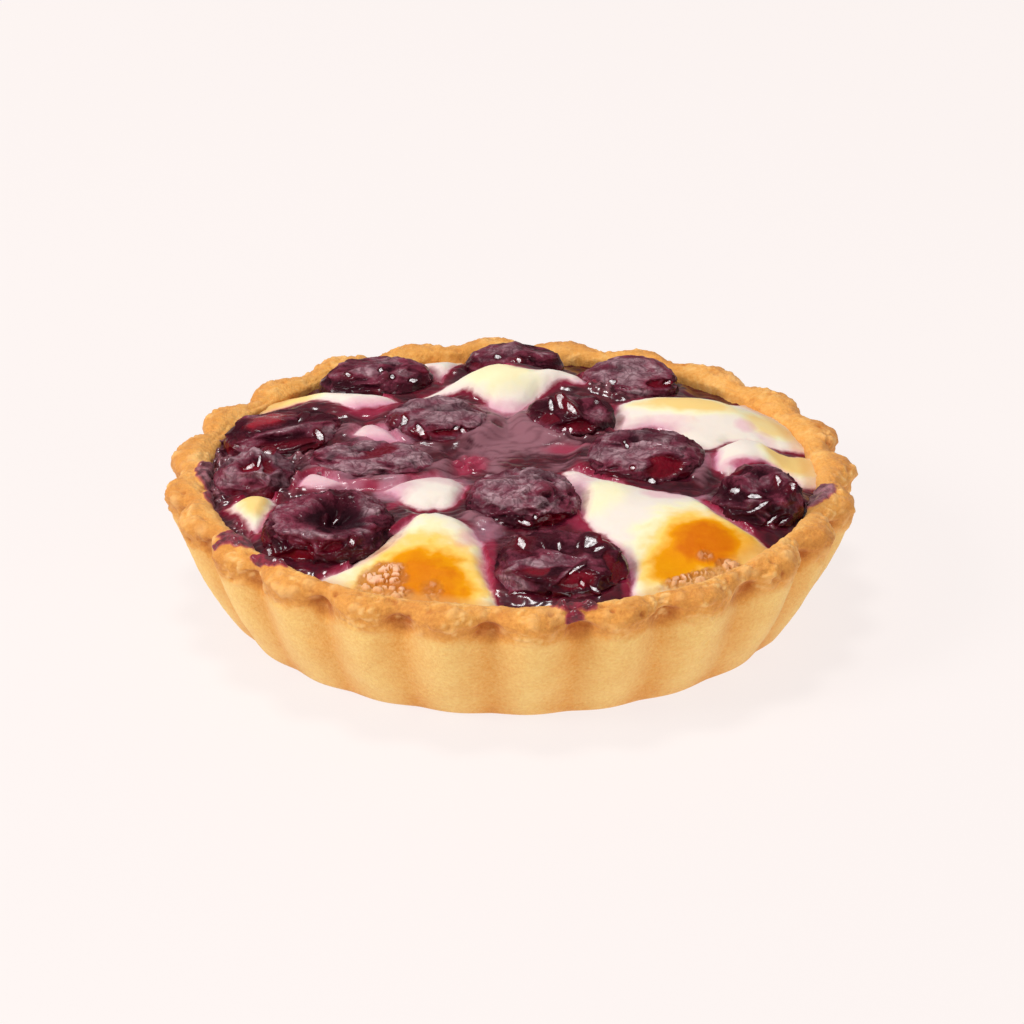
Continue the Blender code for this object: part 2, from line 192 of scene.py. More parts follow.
# Places on the filling, by kind: X, Y, half width, half depth, turn, strength
SPOTS = {
    "toast": (
        (-12.6, -39, 8, 10, 0, 1), (-14, -34, 4.7, 4.2, 8, 0.9),
        (27.2, -26.2, 6.2, 6.2, -14, 1.12), (23, -31, 4.6, 6.6, -20, 0.8),
        (32, -25.5, 3.1, 4.1, -30, 0.6), (-8.6, -40, 3, 7, 0, 0.3),
        (-19.5, -38.5, 4.5, 4, 40, 0.35)),
    "yolk": (
        (-12.6, -38, 11.5, 13.5, 0, 1.15), (27.4, -28, 9.8, 11.8, -10, 1.15),
        (19.3, -33.4, 2.2, 8.1, 0, 0.8), (34.2, -25.3, 2, 4.1, 0, 0.9),
        (26, 17.8, 8.5, 3.2, -4, 1), (37.4, 15.6, 5, 3.4, -50, 0.8),
        (40.4, 3.6, 4.4, 4.6, -20, 1), (-1.8, 26.1, 5.9, 4.3, -4, 0.45),
        (-32.9, 25, 6.2, 3.9, 14, 1), (-36.8, -11.6, 2.3, 4.8, 10, 1),
        (-10.8, 41.5, 2.7, 2.2, 8, 0.6), (12.5, -13.6, 4, 5.5, -30, 0.35)),
    "stain": (
        (35.3, -0.6, 6, 1.5, 0, 1.25), (21.7, -12.5, 3.7, 2.4, 5, 0.85),
        (25.4, -10.2, 2.6, 1.7, -12, 0.6), (34.1, 13.2, 1.8, 1.8, -18, 0.8),
        (37, 11.4, 2, 1.4, -24, 0.55), (29.5, 2, 1.3, 2.1, 0, 0.8),
        (-18.8, 9.8, 3.2, 3.5, -6, 0.6), (-28.1, -5.5, 3.2, 2.8, -8, 0.7),
        (-16.7, -10.1, 1.7, 3.4, -30, 0.7), (-11.8, -6.2, 4.3, 1.7, 0, 0.45),
        (10.5, -6.7, 2, 4.1, 0, 0.5), (9, -14.5, 1.1, 5.5, 0, 0.5),
        (-4.8, -26.2, 1.7, 4.7, -40, 0.75), (11, 26.6, 2.1, 3.6, 0, 0.5),
        (21.7, 13.3, 5.9, 1.4, -4, 0.6), (-20.6, 19.8, 5, 1.8, 10, 0.9),
        (-1.8, 19.8, 6.5, 1.8, 0, 0.55), (16.7, -34.6, 0.8, 10.1, 0, 0.35),
        (-21, -32.1, 5, 1.3, 32, 0.15)),
    "film": (
        (0, 10.9, 8.8, 7.7, 0, 1), (7, 3.9, 7, 4.9, 4, 1), (-9.8, 17.1, 6.5, 2.5, -4, 1),
        (-8.9, -2.2, 3.7, 4.9, -30, 0.7), (-3.2, 2.9, 5.8, 5.6, 0, 0.9),
        (-13.3, 4.7, 4.4, 2.8, 10, 0.7), (-25.4, -0.7, 4.9, 4.2, -12, 0.9),
        (-17.5, -6.6, 5.7, 2.8, -8, 0.8), (27.1, -1.1, 1.7, 4.9, 0, 0.9),
        (14.2, 5.5, 3.5, 4.9, 0, 0.9), (-25.1, 12.1, 2.9, 2.8, 0, 0.6),
        (-1.7, -2.2, 5.8, 3.5, 0, 0.6), (-4.8, -20.1, 3.4, 2.7, -30, 0.8),
        (11.7, 34.8, 3, 2.9, 0, 0.5)),
    "wrinkle": (
        (6.5, 3, 8, 2, 0, 0.8), (2, 1.4, 4.2, 2.6, 0, 1), (-5, -4.5, 3, 5, 20, 0.8),
        (12.8, 7.5, 2.6, 2.2, 0, 0.6), (-2, 13.4, 1, 1.2, 0, 0.8), (-19, 6.5, 6, 1.4, 0, 0.6)),
    "bead": (
        (-32.6, -0.5, 2.3, 9.1, 0, 1), (-36, -2.5, 1.7, 5.6, 0, 0.8),
        (-41.7, 6.3, 3.2, 11.9, 0, 1), (-42.9, -4, 2.6, 6.9, 0, 1),
        (-38.8, -19.3, 2.6, 5.5, 0, 0.9), (16, 26.1, 5, 3.2, 0, 1),
        (3.2, -25.8, 4.8, 3.1, 0, 0.9), (-6.1, 0.5, 2.9, 4.2, -20, 0.9),
        (-25.8, 35.4, 4.5, 2.9, 0, 0.5), (9.2, 9.5, 3.2, 1.8, 0, 0.7),
        (-30.8, 4.4, 2, 3.5, 0, 1), (-25.2, 1.2, 2, 2.8, 0, 0.8)),
    "bright": (
        (-6.1, 0.5, 2.6, 3.8, -25, 1), (30.1, 0.4, 2.9, 2.1, 14, 1),
        (37.4, 2.3, 4.1, 1.4, -4, 0.9), (-20.6, 19, 4.4, 2.1, 12, 1),
        (7.8, 6, 3.5, 1.4, -4, 0.9), (-3.1, -30.5, 1, 8.1, 0, 0.9),
        (15.7, -30.1, 0.7, 10.1, 0, 0.9), (10.3, -19.9, 3.4, 1.7, -20, 0.9),
        (-21.1, -6.8, 4.6, 1, -14, 0.9), (-16.2, -13.9, 0.9, 5.5, -40, 0.9),
        (-34.4, -16.3, 0.9, 7.5, -20, 0.8), (-0.6, 19.3, 5.3, 1.4, -4, 0.7),
        (6.8, 26.3, 3.9, 1.4, 4, 0.7)),
    "flake": (
        (26.6, -34.3, 7, 1.9, 29, 0.85), (-18.2, -36.7, 3.5, 4, -16, 1),
        (-15.8, -40, 2.5, 1.7, -14, 0.9), (-11.1, -39.6, 1.7, 2.7, 0, 0.45),
        (25.4, -34.6, 3.2, 1.3, 24, 1), (30.3, -30.9, 1.8, 1.9, 24, 1),
        (27, -28.9, 1.4, 1.4, 10, 0.5)),
    "haze": (
        (-18.6, 9.8, 5.5, 4.4, -6, 0.8), (-26.5, -6, 5.5, 2.8, -12, 0.6),
        (-16.5, -9.5, 3.6, 4.4, -30, 0.8), (-9.5, -7, 5, 3.4, 0, 0.6), (8.6, -9, 2.6, 6, 0, 0.8),
        (0, 18.8, 7.5, 2, 0, 0.7), (-4.8, -24.8, 2.2, 4.8, -40, 0.6),
        (20.5, 11.8, 6.5, 1.6, -4, 0.45), (27.6, 1, 2.2, 3, 0, 0.6),
        (24, -10.6, 4.8, 2, -12, 0.7)),
}

# Shapes on each cherry, on a plane through its middle that leans back by SLANT degrees:
# kind, across, up, half width, half height, turn, strength
SLANT = 24.5
FEATURES = {
    "front_left": (
        ("pit", -1.2, 3.2, 4.3, 2.2, 5, 0.9), ("ridge", -3, 0.4, 4.4, 0.5, -8, 1),
        ("ridge", -6.8, 2.4, 0.7, 1.6, 10, 0.6), ("satin", 5.2, 4.4, 2, 1, -30, 0.8),
        ("groove", 8.3, 4.1, 0.6, 2.3, -50, 0.8), ("satin", -4.7, 4.4, 2.3, 1.3, 20, 0.5),
        ("window", -4.7, -2.7, 2.3, 0.8, 0, 1), ("window", -0.1, -1.3, 2, 0.7, 10, 0.8),
        ("lobe", 3.1, -0.6, 1.3, 1, 0, 0.7), ("lobe", -8.2, -2.1, 1, 1.3, 0, 0.6),
        ("ridge", -2.4, -1.6, 0.4, 1.3, 20, 0.7)),
    "front_centre": (
        ("window", -2.8, 0.3, 2, 1, -4, 1), ("ridge", -5.3, 0.9, 3.1, 0.4, 24, 1),
        ("ridge", 1.4, 2, 4.2, 0.4, -6, 0.9), ("ridge", 1.4, -0.1, 2.2, 0.3, 38, 1),
        ("window", 2.7, -1.2, 2.8, 1.3, 20, 1), ("satin", -1.4, 1.3, 6.1, 0.7, 0, 0.9),
        ("groove", 0, 3.5, 6, 0.6, 0, 0.9), ("glow", 5.8, 4.6, 3.4, 1, -20, 0.8),
        ("lobe", -4.7, 3.5, 2.8, 1.3, 10, 0.8), ("satin", -6, -1.5, 2.8, 1.4, -20, 0.8),
        ("window", 7.8, 0.6, 1, 2.6, 12, 0.8), ("ridge", -5.3, -2.9, 2.8, 0.3, -12, 0.9),
        ("ridge", 2.4, -3.6, 2.8, 0.3, 12, 0.6)),
    "centre": (
        ("lobe", 3, 2.6, 1.6, 1, 0, 0.9), ("window", 4.2, -2.1, 2.8, 1.1, 8, 1),
        ("ridge", -0.5, -0.2, 4, 0.3, 14, 0.7), ("groove", -0.5, 0.9, 4.3, 0.3, 10, 0.5),
        ("satin", -1.9, 2.4, 5.7, 2.6, 0, 0.8)),
    "right": (
        ("lobe", 2.2, 3.6, 0.9, 1.1, 0, 0.8), ("lobe", 4.3, 3.1, 0.7, 1, 0, 0.7),
        ("ridge", -0.8, 1.5, 2.6, 0.4, -8, 1), ("groove", -0.3, -0.1, 3.1, 0.4, -24, 0.9),
        ("ridge", 0.9, -0.8, 3.1, 0.3, -28, 0.9), ("groove", 1.4, -1.5, 3.1, 0.4, -30, 0.9),
        ("ridge", 2, -2.4, 2.9, 0.3, -32, 0.9), ("pit", -3.3, 2.2, 2.3, 1.3, 0, 0.8)),
    "mid_right": (
        ("window", 2.5, -0.9, 3.3, 1.6, 8, 1), ("ridge", -3.3, 0.5, 4, 0.3, 30, 1),
        ("ridge", 1.5, 2.1, 3.2, 0.3, -4, 0.8), ("satin", -5.6, 1.1, 3.5, 1.4, 0, 1),
        ("groove", -0.7, 3.1, 4.3, 0.4, -4, 0.9), ("satin", 4.8, 2.2, 2.9, 1.2, -30, 0.6),
        ("ridge", 6.5, 1.4, 0.6, 1.7, 30, 0.8)),
    "upper_mid_right": (
        ("lobe", -0.7, 2, 2.1, 1, -25, 1), ("groove", -3.8, 2.6, 2.1, 0.3, 30, 0.8),
        ("ridge", -3.8, 3.4, 2.6, 0.3, 10, 0.8), ("window", 0.6, -0.6, 2.3, 0.9, 0, 0.9),
        ("satin", 4, 0.9, 1.8, 1.2, 0, 0.8), ("window", -3.3, 0.3, 1.5, 0.9, 0, 0.6)),
    "upper_mid_left": (
        ("groove", 1.2, 2.6, 3.8, 0.4, -4, 1), ("satin", 1.1, 1.3, 6.2, 0.9, 0, 1),
        ("lobe", -5.9, 0.6, 1.3, 1, 0, 0.9), ("window", 3, -1.2, 3.5, 0.7, 0, 1),
        ("lobe", -2.6, -1, 1.3, 0.9, -40, 0.9), ("ridge", 0.4, 0.1, 4.4, 0.3, -4, 0.8)),
    "left_mid": (
        ("window", 1.1, 2, 3, 1, 18, 0.8), ("groove", -1.4, 2.2, 2, 0.3, 20, 1),
        ("satin", -3.1, -0.4, 5.8, 1.2, 0, 1), ("satin", 6.3, 1, 3.5, 1.4, 0, 1),
        ("ridge", 4.8, 2.5, 3.5, 0.3, -10, 0.5), ("groove", 1.9, -1.7, 3.8, 0.3, 2, 0.6),
        ("groove", -4.6, -1.1, 0.6, 0.4, 0, 1), ("groove", 1.6, -1.3, 0.8, 0.4, 0, 1),
        ("groove", -6, 1.2, 1.2, 0.5, 30, 0.9), ("groove", 6.1, 0.4, 1, 0.4, -20, 0.9),
        ("groove", -2.9, 2.3, 1.6, 0.3, 10, 0.9)),
    "left_upper": (
        ("groove", 0.5, -0.2, 4.7, 0.7, 10, 1), ("ridge", -0.2, 0.9, 5.3, 0.3, 14, 1),
        ("satin", 6.1, 0.6, 2.9, 1.3, 0, 0.8), ("glow", -2.2, 2.4, 4.2, 1.1, 14, 1),
        ("lobe", 4.5, 0.7, 0.6, 1.2, -40, 0.7), ("satin", -5.3, -1.3, 2.9, 0.9, 30, 0.6)),
    "left": (
        ("window", -1, 2.1, 1.7, 0.9, 20, 1), ("window", 1.8, 2, 1.2, 1.3, 0, 1),
        ("ridge", -1.3, 3.4, 3.7, 0.3, 24, 1), ("ridge", 0.1, 1, 2.9, 0.3, 0, 0.8),
        ("satin", -3.6, 0.3, 2, 1.3, 0, 0.9), ("satin", 0.7, -1.2, 2, 0.9, 0, 0.6)),
    "back_left": (
        ("lobe", 1.2, 0.8, 1.2, 1, 0, 0.8), ("satin", 4.2, 1.5, 1.5, 0.9, 0, 0.8),
        ("lobe", -4, 0.8, 1.5, 0.9, 0, 0.6), ("groove", -1, -0.7, 3.6, 0.3, 0, 0.7),
        ("satin", -1.6, 2.2, 2.1, 0.9, 0, 0.4)),
    "back_centre": (
        ("lobe", 0.4, 1.1, 1.3, 1, 0, 0.8), ("satin", -3.5, 2.5, 2.4, 0.9, 0, 0.6),
        ("groove", 2.5, 1, 3, 0.3, -20, 0.7), ("window", -3.5, 0.5, 2.7, 0.7, 0, 0.6)),
    "back_right": (
        ("satin", -1.6, 1.2, 5.1, 2.1, 0, 1), ("groove", -1.9, 2.1, 2.7, 0.6, 0, 0.8),
        ("window", 4.6, -0.3, 2.4, 0.7, 0, 0.9), ("ridge", 3.6, 2.1, 0.6, 1.8, 20, 0.6),
        ("window", 4.6, 3, 2.4, 0.7, -30, 0.5)),
}

# What each kind of shape does: its soft edge, empty for a line; its lift; how far it calms the
# creases; and how far it hides, and how much it brings at least, of each mask
SHAPES = {
    "window": ((1.15, 0.75), -0.45, 0.9, {"red": (0, 1), "satin": (1, 0), "hollow_shade": (1, 0)}),
    "pit": ((1.15, 0.5), -1.0, 0.8, {"hollow_shade": (0, 1), "satin": (1, 0)}),
    "lobe": ((1.3, 0.3), 0.9, 0.9,
             {"red": (0, 0.7), "satin": (1, 0), "wet": (0, 1), "hollow_shade": (0.6, 0)}),
    "glow": ((1.25, 0.4), 0.6, 0.7,
             {"red": (0, 1.35), "satin": (1, 0), "wet": (0, 0.8), "hollow_shade": (1, 0)}),
    "satin": ((1.4, 0.5), 0.0, 0.3, {"satin": (0, 1), "wet": (1, 0), "hollow_shade": (0.6, 0)}),
    "ridge": ((), 0.65, 0.0, {"satin": (0, 1), "wet": (0, 0.7), "hollow_shade": (1, 0)}),
    "groove": ((), -0.6, 0.0, {"hollow_shade": (0, 0.9)}),
}

# Wet facets on each cherry, on the same plane: across, up, half width, half height, turn
GLINTS = {
    "front_left": (
        (-1.4, 2.9, 0.45, 0.9, -25), (0.6, 3.2, 0.45, 0.9, -30), (-8.3, -2, 0.35, 0.7, 15),
        (2.7, -0.6, 0.4, 0.7, 5), (-5.2, -4.3, 0.5, 0.4, 0), (-3.4, -3.8, 0.6, 0.4, 20),
        (-2.8, -1.7, 0.35, 0.8, 30), (-6.4, -1.1, 0.35, 0.7, 15)),
    "front_centre": (
        (-4.6, 3.5, 0.8, 0.4, 25), (4.4, 4, 1.2, 0.4, -22), (5.6, 3.1, 0.6, 0.35, 5),
        (3, 3.7, 0.35, 0.3, -60), (-4.7, -3.1, 1.7, 0.35, -8), (-1.4, -3.6, 0.35, 0.7, -30),
        (2.3, 0.3, 0.35, 1.3, -48), (3.5, -1.7, 0.35, 0.5, 0), (-2.1, 3.5, 0.35, 0.4, 0),
        (0.2, 3.6, 0.35, 0.4, 0), (4.9, -2.4, 0.35, 0.6, 40)),
    "centre": (
        (0.1, -2.2, 1, 0.35, -15), (1.7, -1.5, 0.35, 0.4, 0), (3.7, -2.8, 0.6, 0.35, 10),
        (4.9, -1.5, 0.4, 0.35, 0)),
    "right": (
        (-0.8, 1.8, 1.3, 0.35, -10), (-0.1, 0.3, 1.6, 0.35, 30), (2.4, 3.6, 0.4, 0.8, 10),
        (4.2, 2.8, 0.35, 0.6, 10), (1.9, -1.4, 1.4, 0.35, 38), (3.3, -1.7, 1.1, 0.35, 38),
        (-3.6, 2.9, 0.9, 0.35, 35)),
    "mid_right": (
        (-3.2, 3, 0.4, 0.4, 0), (-2.6, 2.2, 0.35, 0.35, 0), (0.8, -2.7, 0.6, 0.35, 0),
        (-1.8, -0.9, 0.4, 0.35, 30)),
    "upper_mid_right": (
        (-2.9, 2.3, 0.35, 0.7, -35), (-1.1, 2.3, 0.6, 0.7, 0), (0.1, 1.5, 0.9, 0.4, -45),
        (-1.1, -1.2, 0.4, 0.4, 0), (-0.1, -1.3, 0.35, 0.4, 0)),
    "upper_mid_left": (
        (-4.6, 0.7, 0.35, 0.9, -30), (-2.1, -0.9, 0.4, 1.2, 35), (2.7, -0.6, 0.4, 0.35, 20),
        (3.9, -0.9, 0.35, 0.7, 35)),
    "left_mid": (),
    "left_upper": (
        (4.6, 0.3, 0.35, 0.9, 35), (2.4, 2.9, 0.6, 0.5, 0), (3.8, -2.1, 0.4, 0.35, 0)),
    "left": (
        (-1, 2.4, 0.9, 0.35, 28), (0.3, 2.9, 0.35, 0.4, 0), (1.8, 4.3, 1, 0.35, 8),
        (3.9, 4, 0.4, 0.35, 35)),
    "back_left": (
        (-3.7, 1, 0.4, 0.35, 0), (0.6, 1.8, 0.4, 0.35, 0), (2.2, 0.8, 0.4, 0.35, -20),
        (5.1, 0.3, 0.4, 0.35, 0)),
    "back_centre": (
        (-2.4, 1.7, 0.6, 0.35, 0), (0.7, 1, 0.4, 0.35, -20)),
    "back_right": (
        (5.5, -0.1, 0.4, 0.35, 0), (-2.8, -0.1, 0.6, 0.35, 20)),
}
# Way that the wet facets face
FACET = (-0.077, -0.489, 0.869)

# Skin of each cherry: crease width, crease depth, stretch and its bearing, painted sheen share,
# red share
SKINS = {
    "front_left": (2.2, 1, 1.5, 60, 0.4, 0.45),
    "front_centre": (4, 1, 2.2, 35, 0.15, 0.4),
    "centre": (2, 1, 1.7, 60, 0.66, 0.25),
    "right": (3.2, 1.05, 2.4, 100, 0.36, 0.35),
    "mid_right": (3.4, 1.05, 2, 70, 0.5, 0.5),
    "upper_mid_right": (3.6, 0.8, 1.8, 20, 0.15, 0.3),
    "upper_mid_left": (4, 0.85, 1.8, -70, 0.72, 0.6),
    "left_mid": (3, 0.95, 2, 75, 0.65, 0.3),
    "left_upper": (4.4, 1, 2.4, 65, 0.2, 0.5),
    "left": (3.4, 1.15, 2.2, 50, 0.64, 0.7),
    "back_left": (3.6, 0.8, 1.4, 30, 0.45, 0.4),
    "back_centre": (3.6, 0.5, 1.4, -30, 0.44, 0.4),
    "back_right": (3.6, 0.8, 2, 80, 0.62, 0.2),
}

# Seeds of the grain; each cherry's is one more than the last
CRUST_SEED = 11
CUSTARD_SEED = 23
CHERRY_SEED = 100

# View: degrees above the table, metres to the aim, its height and how far the frame is dropped
VIEW_RISE = 24.5
VIEW_DISTANCE = 0.8865
AIM_HEIGHT = 0.0186
AIM_DROP = 0.00536
LENS = 215.7
SENSOR = 36.0

# Lamps: name, place, size, watts
LAMPS = (
    ("window", (-0.8, -0.35, 0.62), 0.38, 6.9),
    ("ceiling", (-0.12, 0.12, 0.95), 0.2, 4.4),
    ("bounce", (0.55, -0.9, 0.3), 0.5, 2.8),
)
ROOM_LIGHT = (1.0, 0.965, 0.95, 1.0)
ROOM_STRENGTH = 0.3

TABLE_HALF = 8.0
TABLE_DROP = 0.0001

# Colours: red, green and blue from 0 to 255
TINTS = {
    "pale_crust": (248, 207, 126), "gold_crust": (228, 158, 73), "brown_crust": (182, 102, 34),
    "crumb": (250, 200, 128), "soaked_crust": (180, 84, 74), "dark_pulp": (78, 8, 24),
    "bright_pulp": (136, 12, 42), "dull_pulp": (104, 50, 62), "pale_pulp": (174, 122, 130),
    "white_custard": (232, 220, 208), "lemon_custard": (238, 230, 190),
    "yolk_custard": (241, 204, 128), "light_toast": (246, 200, 98), "toast": (228, 148, 0),
    "deep_toast": (206, 104, 2), "flake_brown_and_shade": (178, 104, 44), "flake": (240, 184, 148),
    "brim": (216, 158, 92), "pink_custard": (222, 156, 178), "cherry_side": (176, 50, 88),
    "cherry_edge": (120, 10, 36), "deep_juice": (54, 8, 20), "juice": (100, 20, 36),
    "dark_bead": (58, 12, 24), "pale_bead": (172, 114, 124), "juice_skin_sheen": (142, 94, 104),
    "juice_fold_shade": (66, 18, 32), "bright_juice": (156, 34, 66), "juice_bank": (142, 18, 50),
    "haze": (208, 150, 170), "dim_skin_sheen": (128, 82, 94), "bright_skin_sheen": (174, 140, 147),
    "flesh": (60, 6, 22), "red_flesh": (98, 2, 22), "glowing_flesh": (150, 14, 36),
    "faint_skin_sheen": (122, 50, 68), "shaded_crinkle": (74, 24, 40), "shaded_hollow": (26, 3, 12),
    "table": (100, 96, 94), "dim_table": (94, 90, 88),
}


class Grain:
    """Seeded noise in space, for points in millimetres."""

    def __init__(self, seed):
        rng = np.random.default_rng(seed)
        self.order = rng.permutation(256)
        slopes = rng.normal(size=(256, 3))
        self.slopes = slopes / np.linalg.norm(slopes, axis=1)[:, None]
        self.spots = rng.random((256, 3))

    def pick(self, cell):
        first = self.order[cell[:, 0] & 255]
        second = self.order[(first + cell[:, 1]) & 255]
        return self.order[(second + cell[:, 2]) & 255]

    def soft(self, points, size):
        """Rolling noise, about -1 to 1, whose swellings are about a size apart."""
        q = points / size
        cell = np.floor(q).astype(np.int64)
        f = q - cell
        u = f * f * f * (f * (f * 6.0 - 15.0) + 10.0)
        total = np.zeros(len(points))
        for corner in np.ndindex(2, 2, 2):
            slope = self.slopes[self.pick(cell + corner)]
            weight = np.prod(np.where(corner, u, 1.0 - u), axis=1)
            total += weight * np.sum(slope * (f - corner), axis=1)
        return 1.6 * total

    def layers(self, points, size, count=3, gain=0.5):
        """Rolling noise with finer and finer noise on it."""
        return sum(gain**k * self.soft(points + 7.3 * k, size * 0.5**k) for k in range(count))

    def creases(self, points, size, count=2, gain=0.5):
        """Rounded swellings, 1 at most, between sharp creases at 0."""
        total = sum(gain**k * np.abs(self.soft(points + 5.1 * k, size * 0.5**k))
                    for k in range(count))
        return np.minimum(1.6 * total / sum(gain**k for k in range(count)), 1.0)

    def cells(self, points, size):
        """Distances in sizes to the two nearest scattered spots, and the nearest's height."""
        q = points / size
        cell = np.floor(q).astype(np.int64)
        f = q - cell
        nearest, second, height = np.full((3, len(points)), 9.0)
        for step in np.ndindex(3, 3, 3):
            step = np.array(step) - 1
            spot = self.spots[self.pick(cell + step)]
            far = np.linalg.norm(spot + step - f, axis=1)
            closer = far < nearest
            second = np.where(closer, nearest, np.minimum(second, far))
            height = np.where(closer, spot[:, 0], height)
            nearest = np.where(closer, far, nearest)
        return nearest, second, height

    def crumbs(self, points, size):
        """0 on a scattered crumb, about 1 between crumbs."""
        return self.cells(points, size)[0]

    def shards(self, points, size):
        """Flat broken pieces about a size across: 0.3 to 1 high, 0 in the cracks between them."""
        nearest, second, height = self.cells(points, size)
        return (0.3 + 0.7 * height) * smooth(0.02, 0.22, second - nearest)


def smooth(low, high, value):
    """0 below low, 1 above high, with soft ends; runs downward where low is above high."""
    t = np.clip((value - low) / (high - low), 0.0, 1.0)
    return t * t * (3.0 - 2.0 * t)


def bell(value, width):
    return np.exp(-((value / width) ** 2))


def place(bearing, radius):
    """Point of a bearing in degrees, measured from the front towards +X."""
    angle = np.radians(bearing)
    return radius * np.sin(angle), -radius * np.cos(angle)


def oval(x, y, middle_x, middle_y, half_width, half_depth, turn):
    """Distance from a turned oval's middle, 1 on its outline."""
    c, s = math.cos(math.radians(turn)), math.sin(math.radians(turn))
    along = ((x - middle_x) * c + (y - middle_y) * s) / half_width
    across = ((y - middle_y) * c - (x - middle_x) * s) / half_depth
    return np.hypot(along, across)


def bump(x, y, *where):
    """1 in the middle of a turned oval, falling smoothly to 0 outside it."""
    return np.exp(-(oval(x, y, *where) ** 2.7))


def wave(bearing):
    """-1 in the middle of a groove to 1 on a flute's tip."""
    turned = (bearing + 180.0) % 360.0 - 180.0
    drift = sum(far * np.exp(-(((turned - at) / spread) ** 2)) for at, spread, far in DRIFTS)
    return np.cos(np.radians(FLUTES * (bearing - drift - FIRST_TIP)))


def flute(bearing):
    """1 on a flute's tip and 0 in a groove."""
    return (0.5 + 0.5 * wave(bearing)) ** GROOVE_SHARPNESS


def wobble(bearing, phase):
    """Slow unevenness of hand-pressed pastry, about -1 to 1."""
    a = np.radians(bearing)
    slow = 0.45 * np.sin(3 * a + phase) + 0.3 * np.sin(5 * a + 2.1 * phase)
    return slow + 0.25 * np.sin(11 * a + 3.7 * phase)


def crust_stations():
    """Radius at a tip, height and flute depth: over the base, up the wall, over the lip, in."""
    stations = [(BASE_RADIUS - 0.5, 0.0, FLUTE_AT_BASE)]
    for share in (0.05, 0.34, 0.64, 1.0):
        radius = BASE_RADIUS + (WALL_TOP_RADIUS - BASE_RADIUS) * share
        radius += WALL_BULGE * math.sin(math.pi * share)
        depth = FLUTE_AT_BASE + (FLUTE_AT_WALL_TOP - FLUTE_AT_BASE) * share
        stations.append((radius, WALL_TOP * share, depth))
    half_width = TIP_RADIUS - LIP_MIDDLE
    for angle in (-28, 5, 38, 68, 100, 130, 158):
        a = math.radians(angle)
        radius = LIP_MIDDLE + half_width * math.cos(a)
        height = RIM_HEIGHT - LIP_HALF_HEIGHT * (1.0 - math.sin(a))
        depth = FLUTE_AT_LIP * (0.5 + 0.5 * math.cos(a + 0.4)) ** 0.7
        stations.append((radius, height, depth))
    for radius, height in (INNER_TOP, INNER_MIDDLE, FLOOR_EDGE):
        stations.append((radius, height, 0.0))
    return np.array(stations)


def crust_outline(rows):
    """Smooth outline through the stations, its rows closest together over the lip."""
    s = crust_stations()
    s = np.vstack([2 * s[0] - s[1], s, 2 * s[-1] - s[-2]])
    t = np.linspace(0.0, 1.0, 40, endpoint=False)[:, None]
    fine = []
    for a, b, c, d in zip(s, s[1:], s[2:], s[3:]):
        fine.append(0.5 * (2 * b + (c - a) * t + (2 * a - 5 * b + 4 * c - d) * t**2
                           + (3 * b - 3 * c + d - a) * t**3))
    fine = np.vstack(fine + [s[-2:-1]])
    fine[:, 1:] = np.maximum(fine[:, 1:], 0.0)
    step = np.linalg.norm(np.diff(fine[:, :2], axis=0), axis=1)
    middle = 0.5 * (fine[1:, 1] + fine[:-1, 1])
    inside = np.arange(len(step)) > 0.82 * len(step)
    wanted = step * (0.75 + 0.9 * smooth(11.0, 15.0, middle)) * np.where(inside, 0.3, 1.0)
    reach = np.concatenate([[0.0], np.cumsum(wanted)])
    at = np.linspace(0.0, reach[-1], rows)
    return np.stack([np.interp(at, reach, fine[:, k]) for k in range(3)], axis=1)


def thinness(bearing):
    """How far the rim's inside stands back at a bearing."""
    turned = (bearing + 180.0) % 360.0 - 180.0
    return sum(far * bell(turned - at, spread) for at, spread, far in THIN_PLACES)


def crust_form(bearing, radius, height, depth):
    """Radius and height of the case's skin before its crumb."""
    high = np.clip(height / RIM_HEIGHT, 0.0, 1.0)
    outside = np.clip(depth / 0.4, 0.0, 1.0)
    groove = 1.0 - flute(bearing)
    r = radius - depth * groove + 0.4 * high * outside * wobble(bearing, 1.3)
    within = smooth(LIP_MIDDLE + 0.8, LIP_MIDDLE - 2.6, radius) * smooth(16.8, 18.6, height)
    r = r + thinness(bearing) * within
    z = height + 0.35 * high**3 * outside * wobble(bearing, 4.4)
    return r, z - GROOVE_DIP * high**8 * outside * groove


def custard_height(x, y):
    """Height of the custard's skin: a low dome and its mounds."""
    reach = np.clip(np.hypot(x, y) / INNER_TOP[0], 0.0, 1.0)
    z = CUSTARD_EDGE + (CUSTARD_DOME + CUSTARD_TILT * y) * (1.0 - reach**3.2)
    edge = np.clip((1.0 - reach) / 0.16, 0.0, 1.0)
    for *where, height in MOUNDS.values():
        z = z + (0.35 + 0.65 * edge) * height * bump(x, y, *where)
    return z


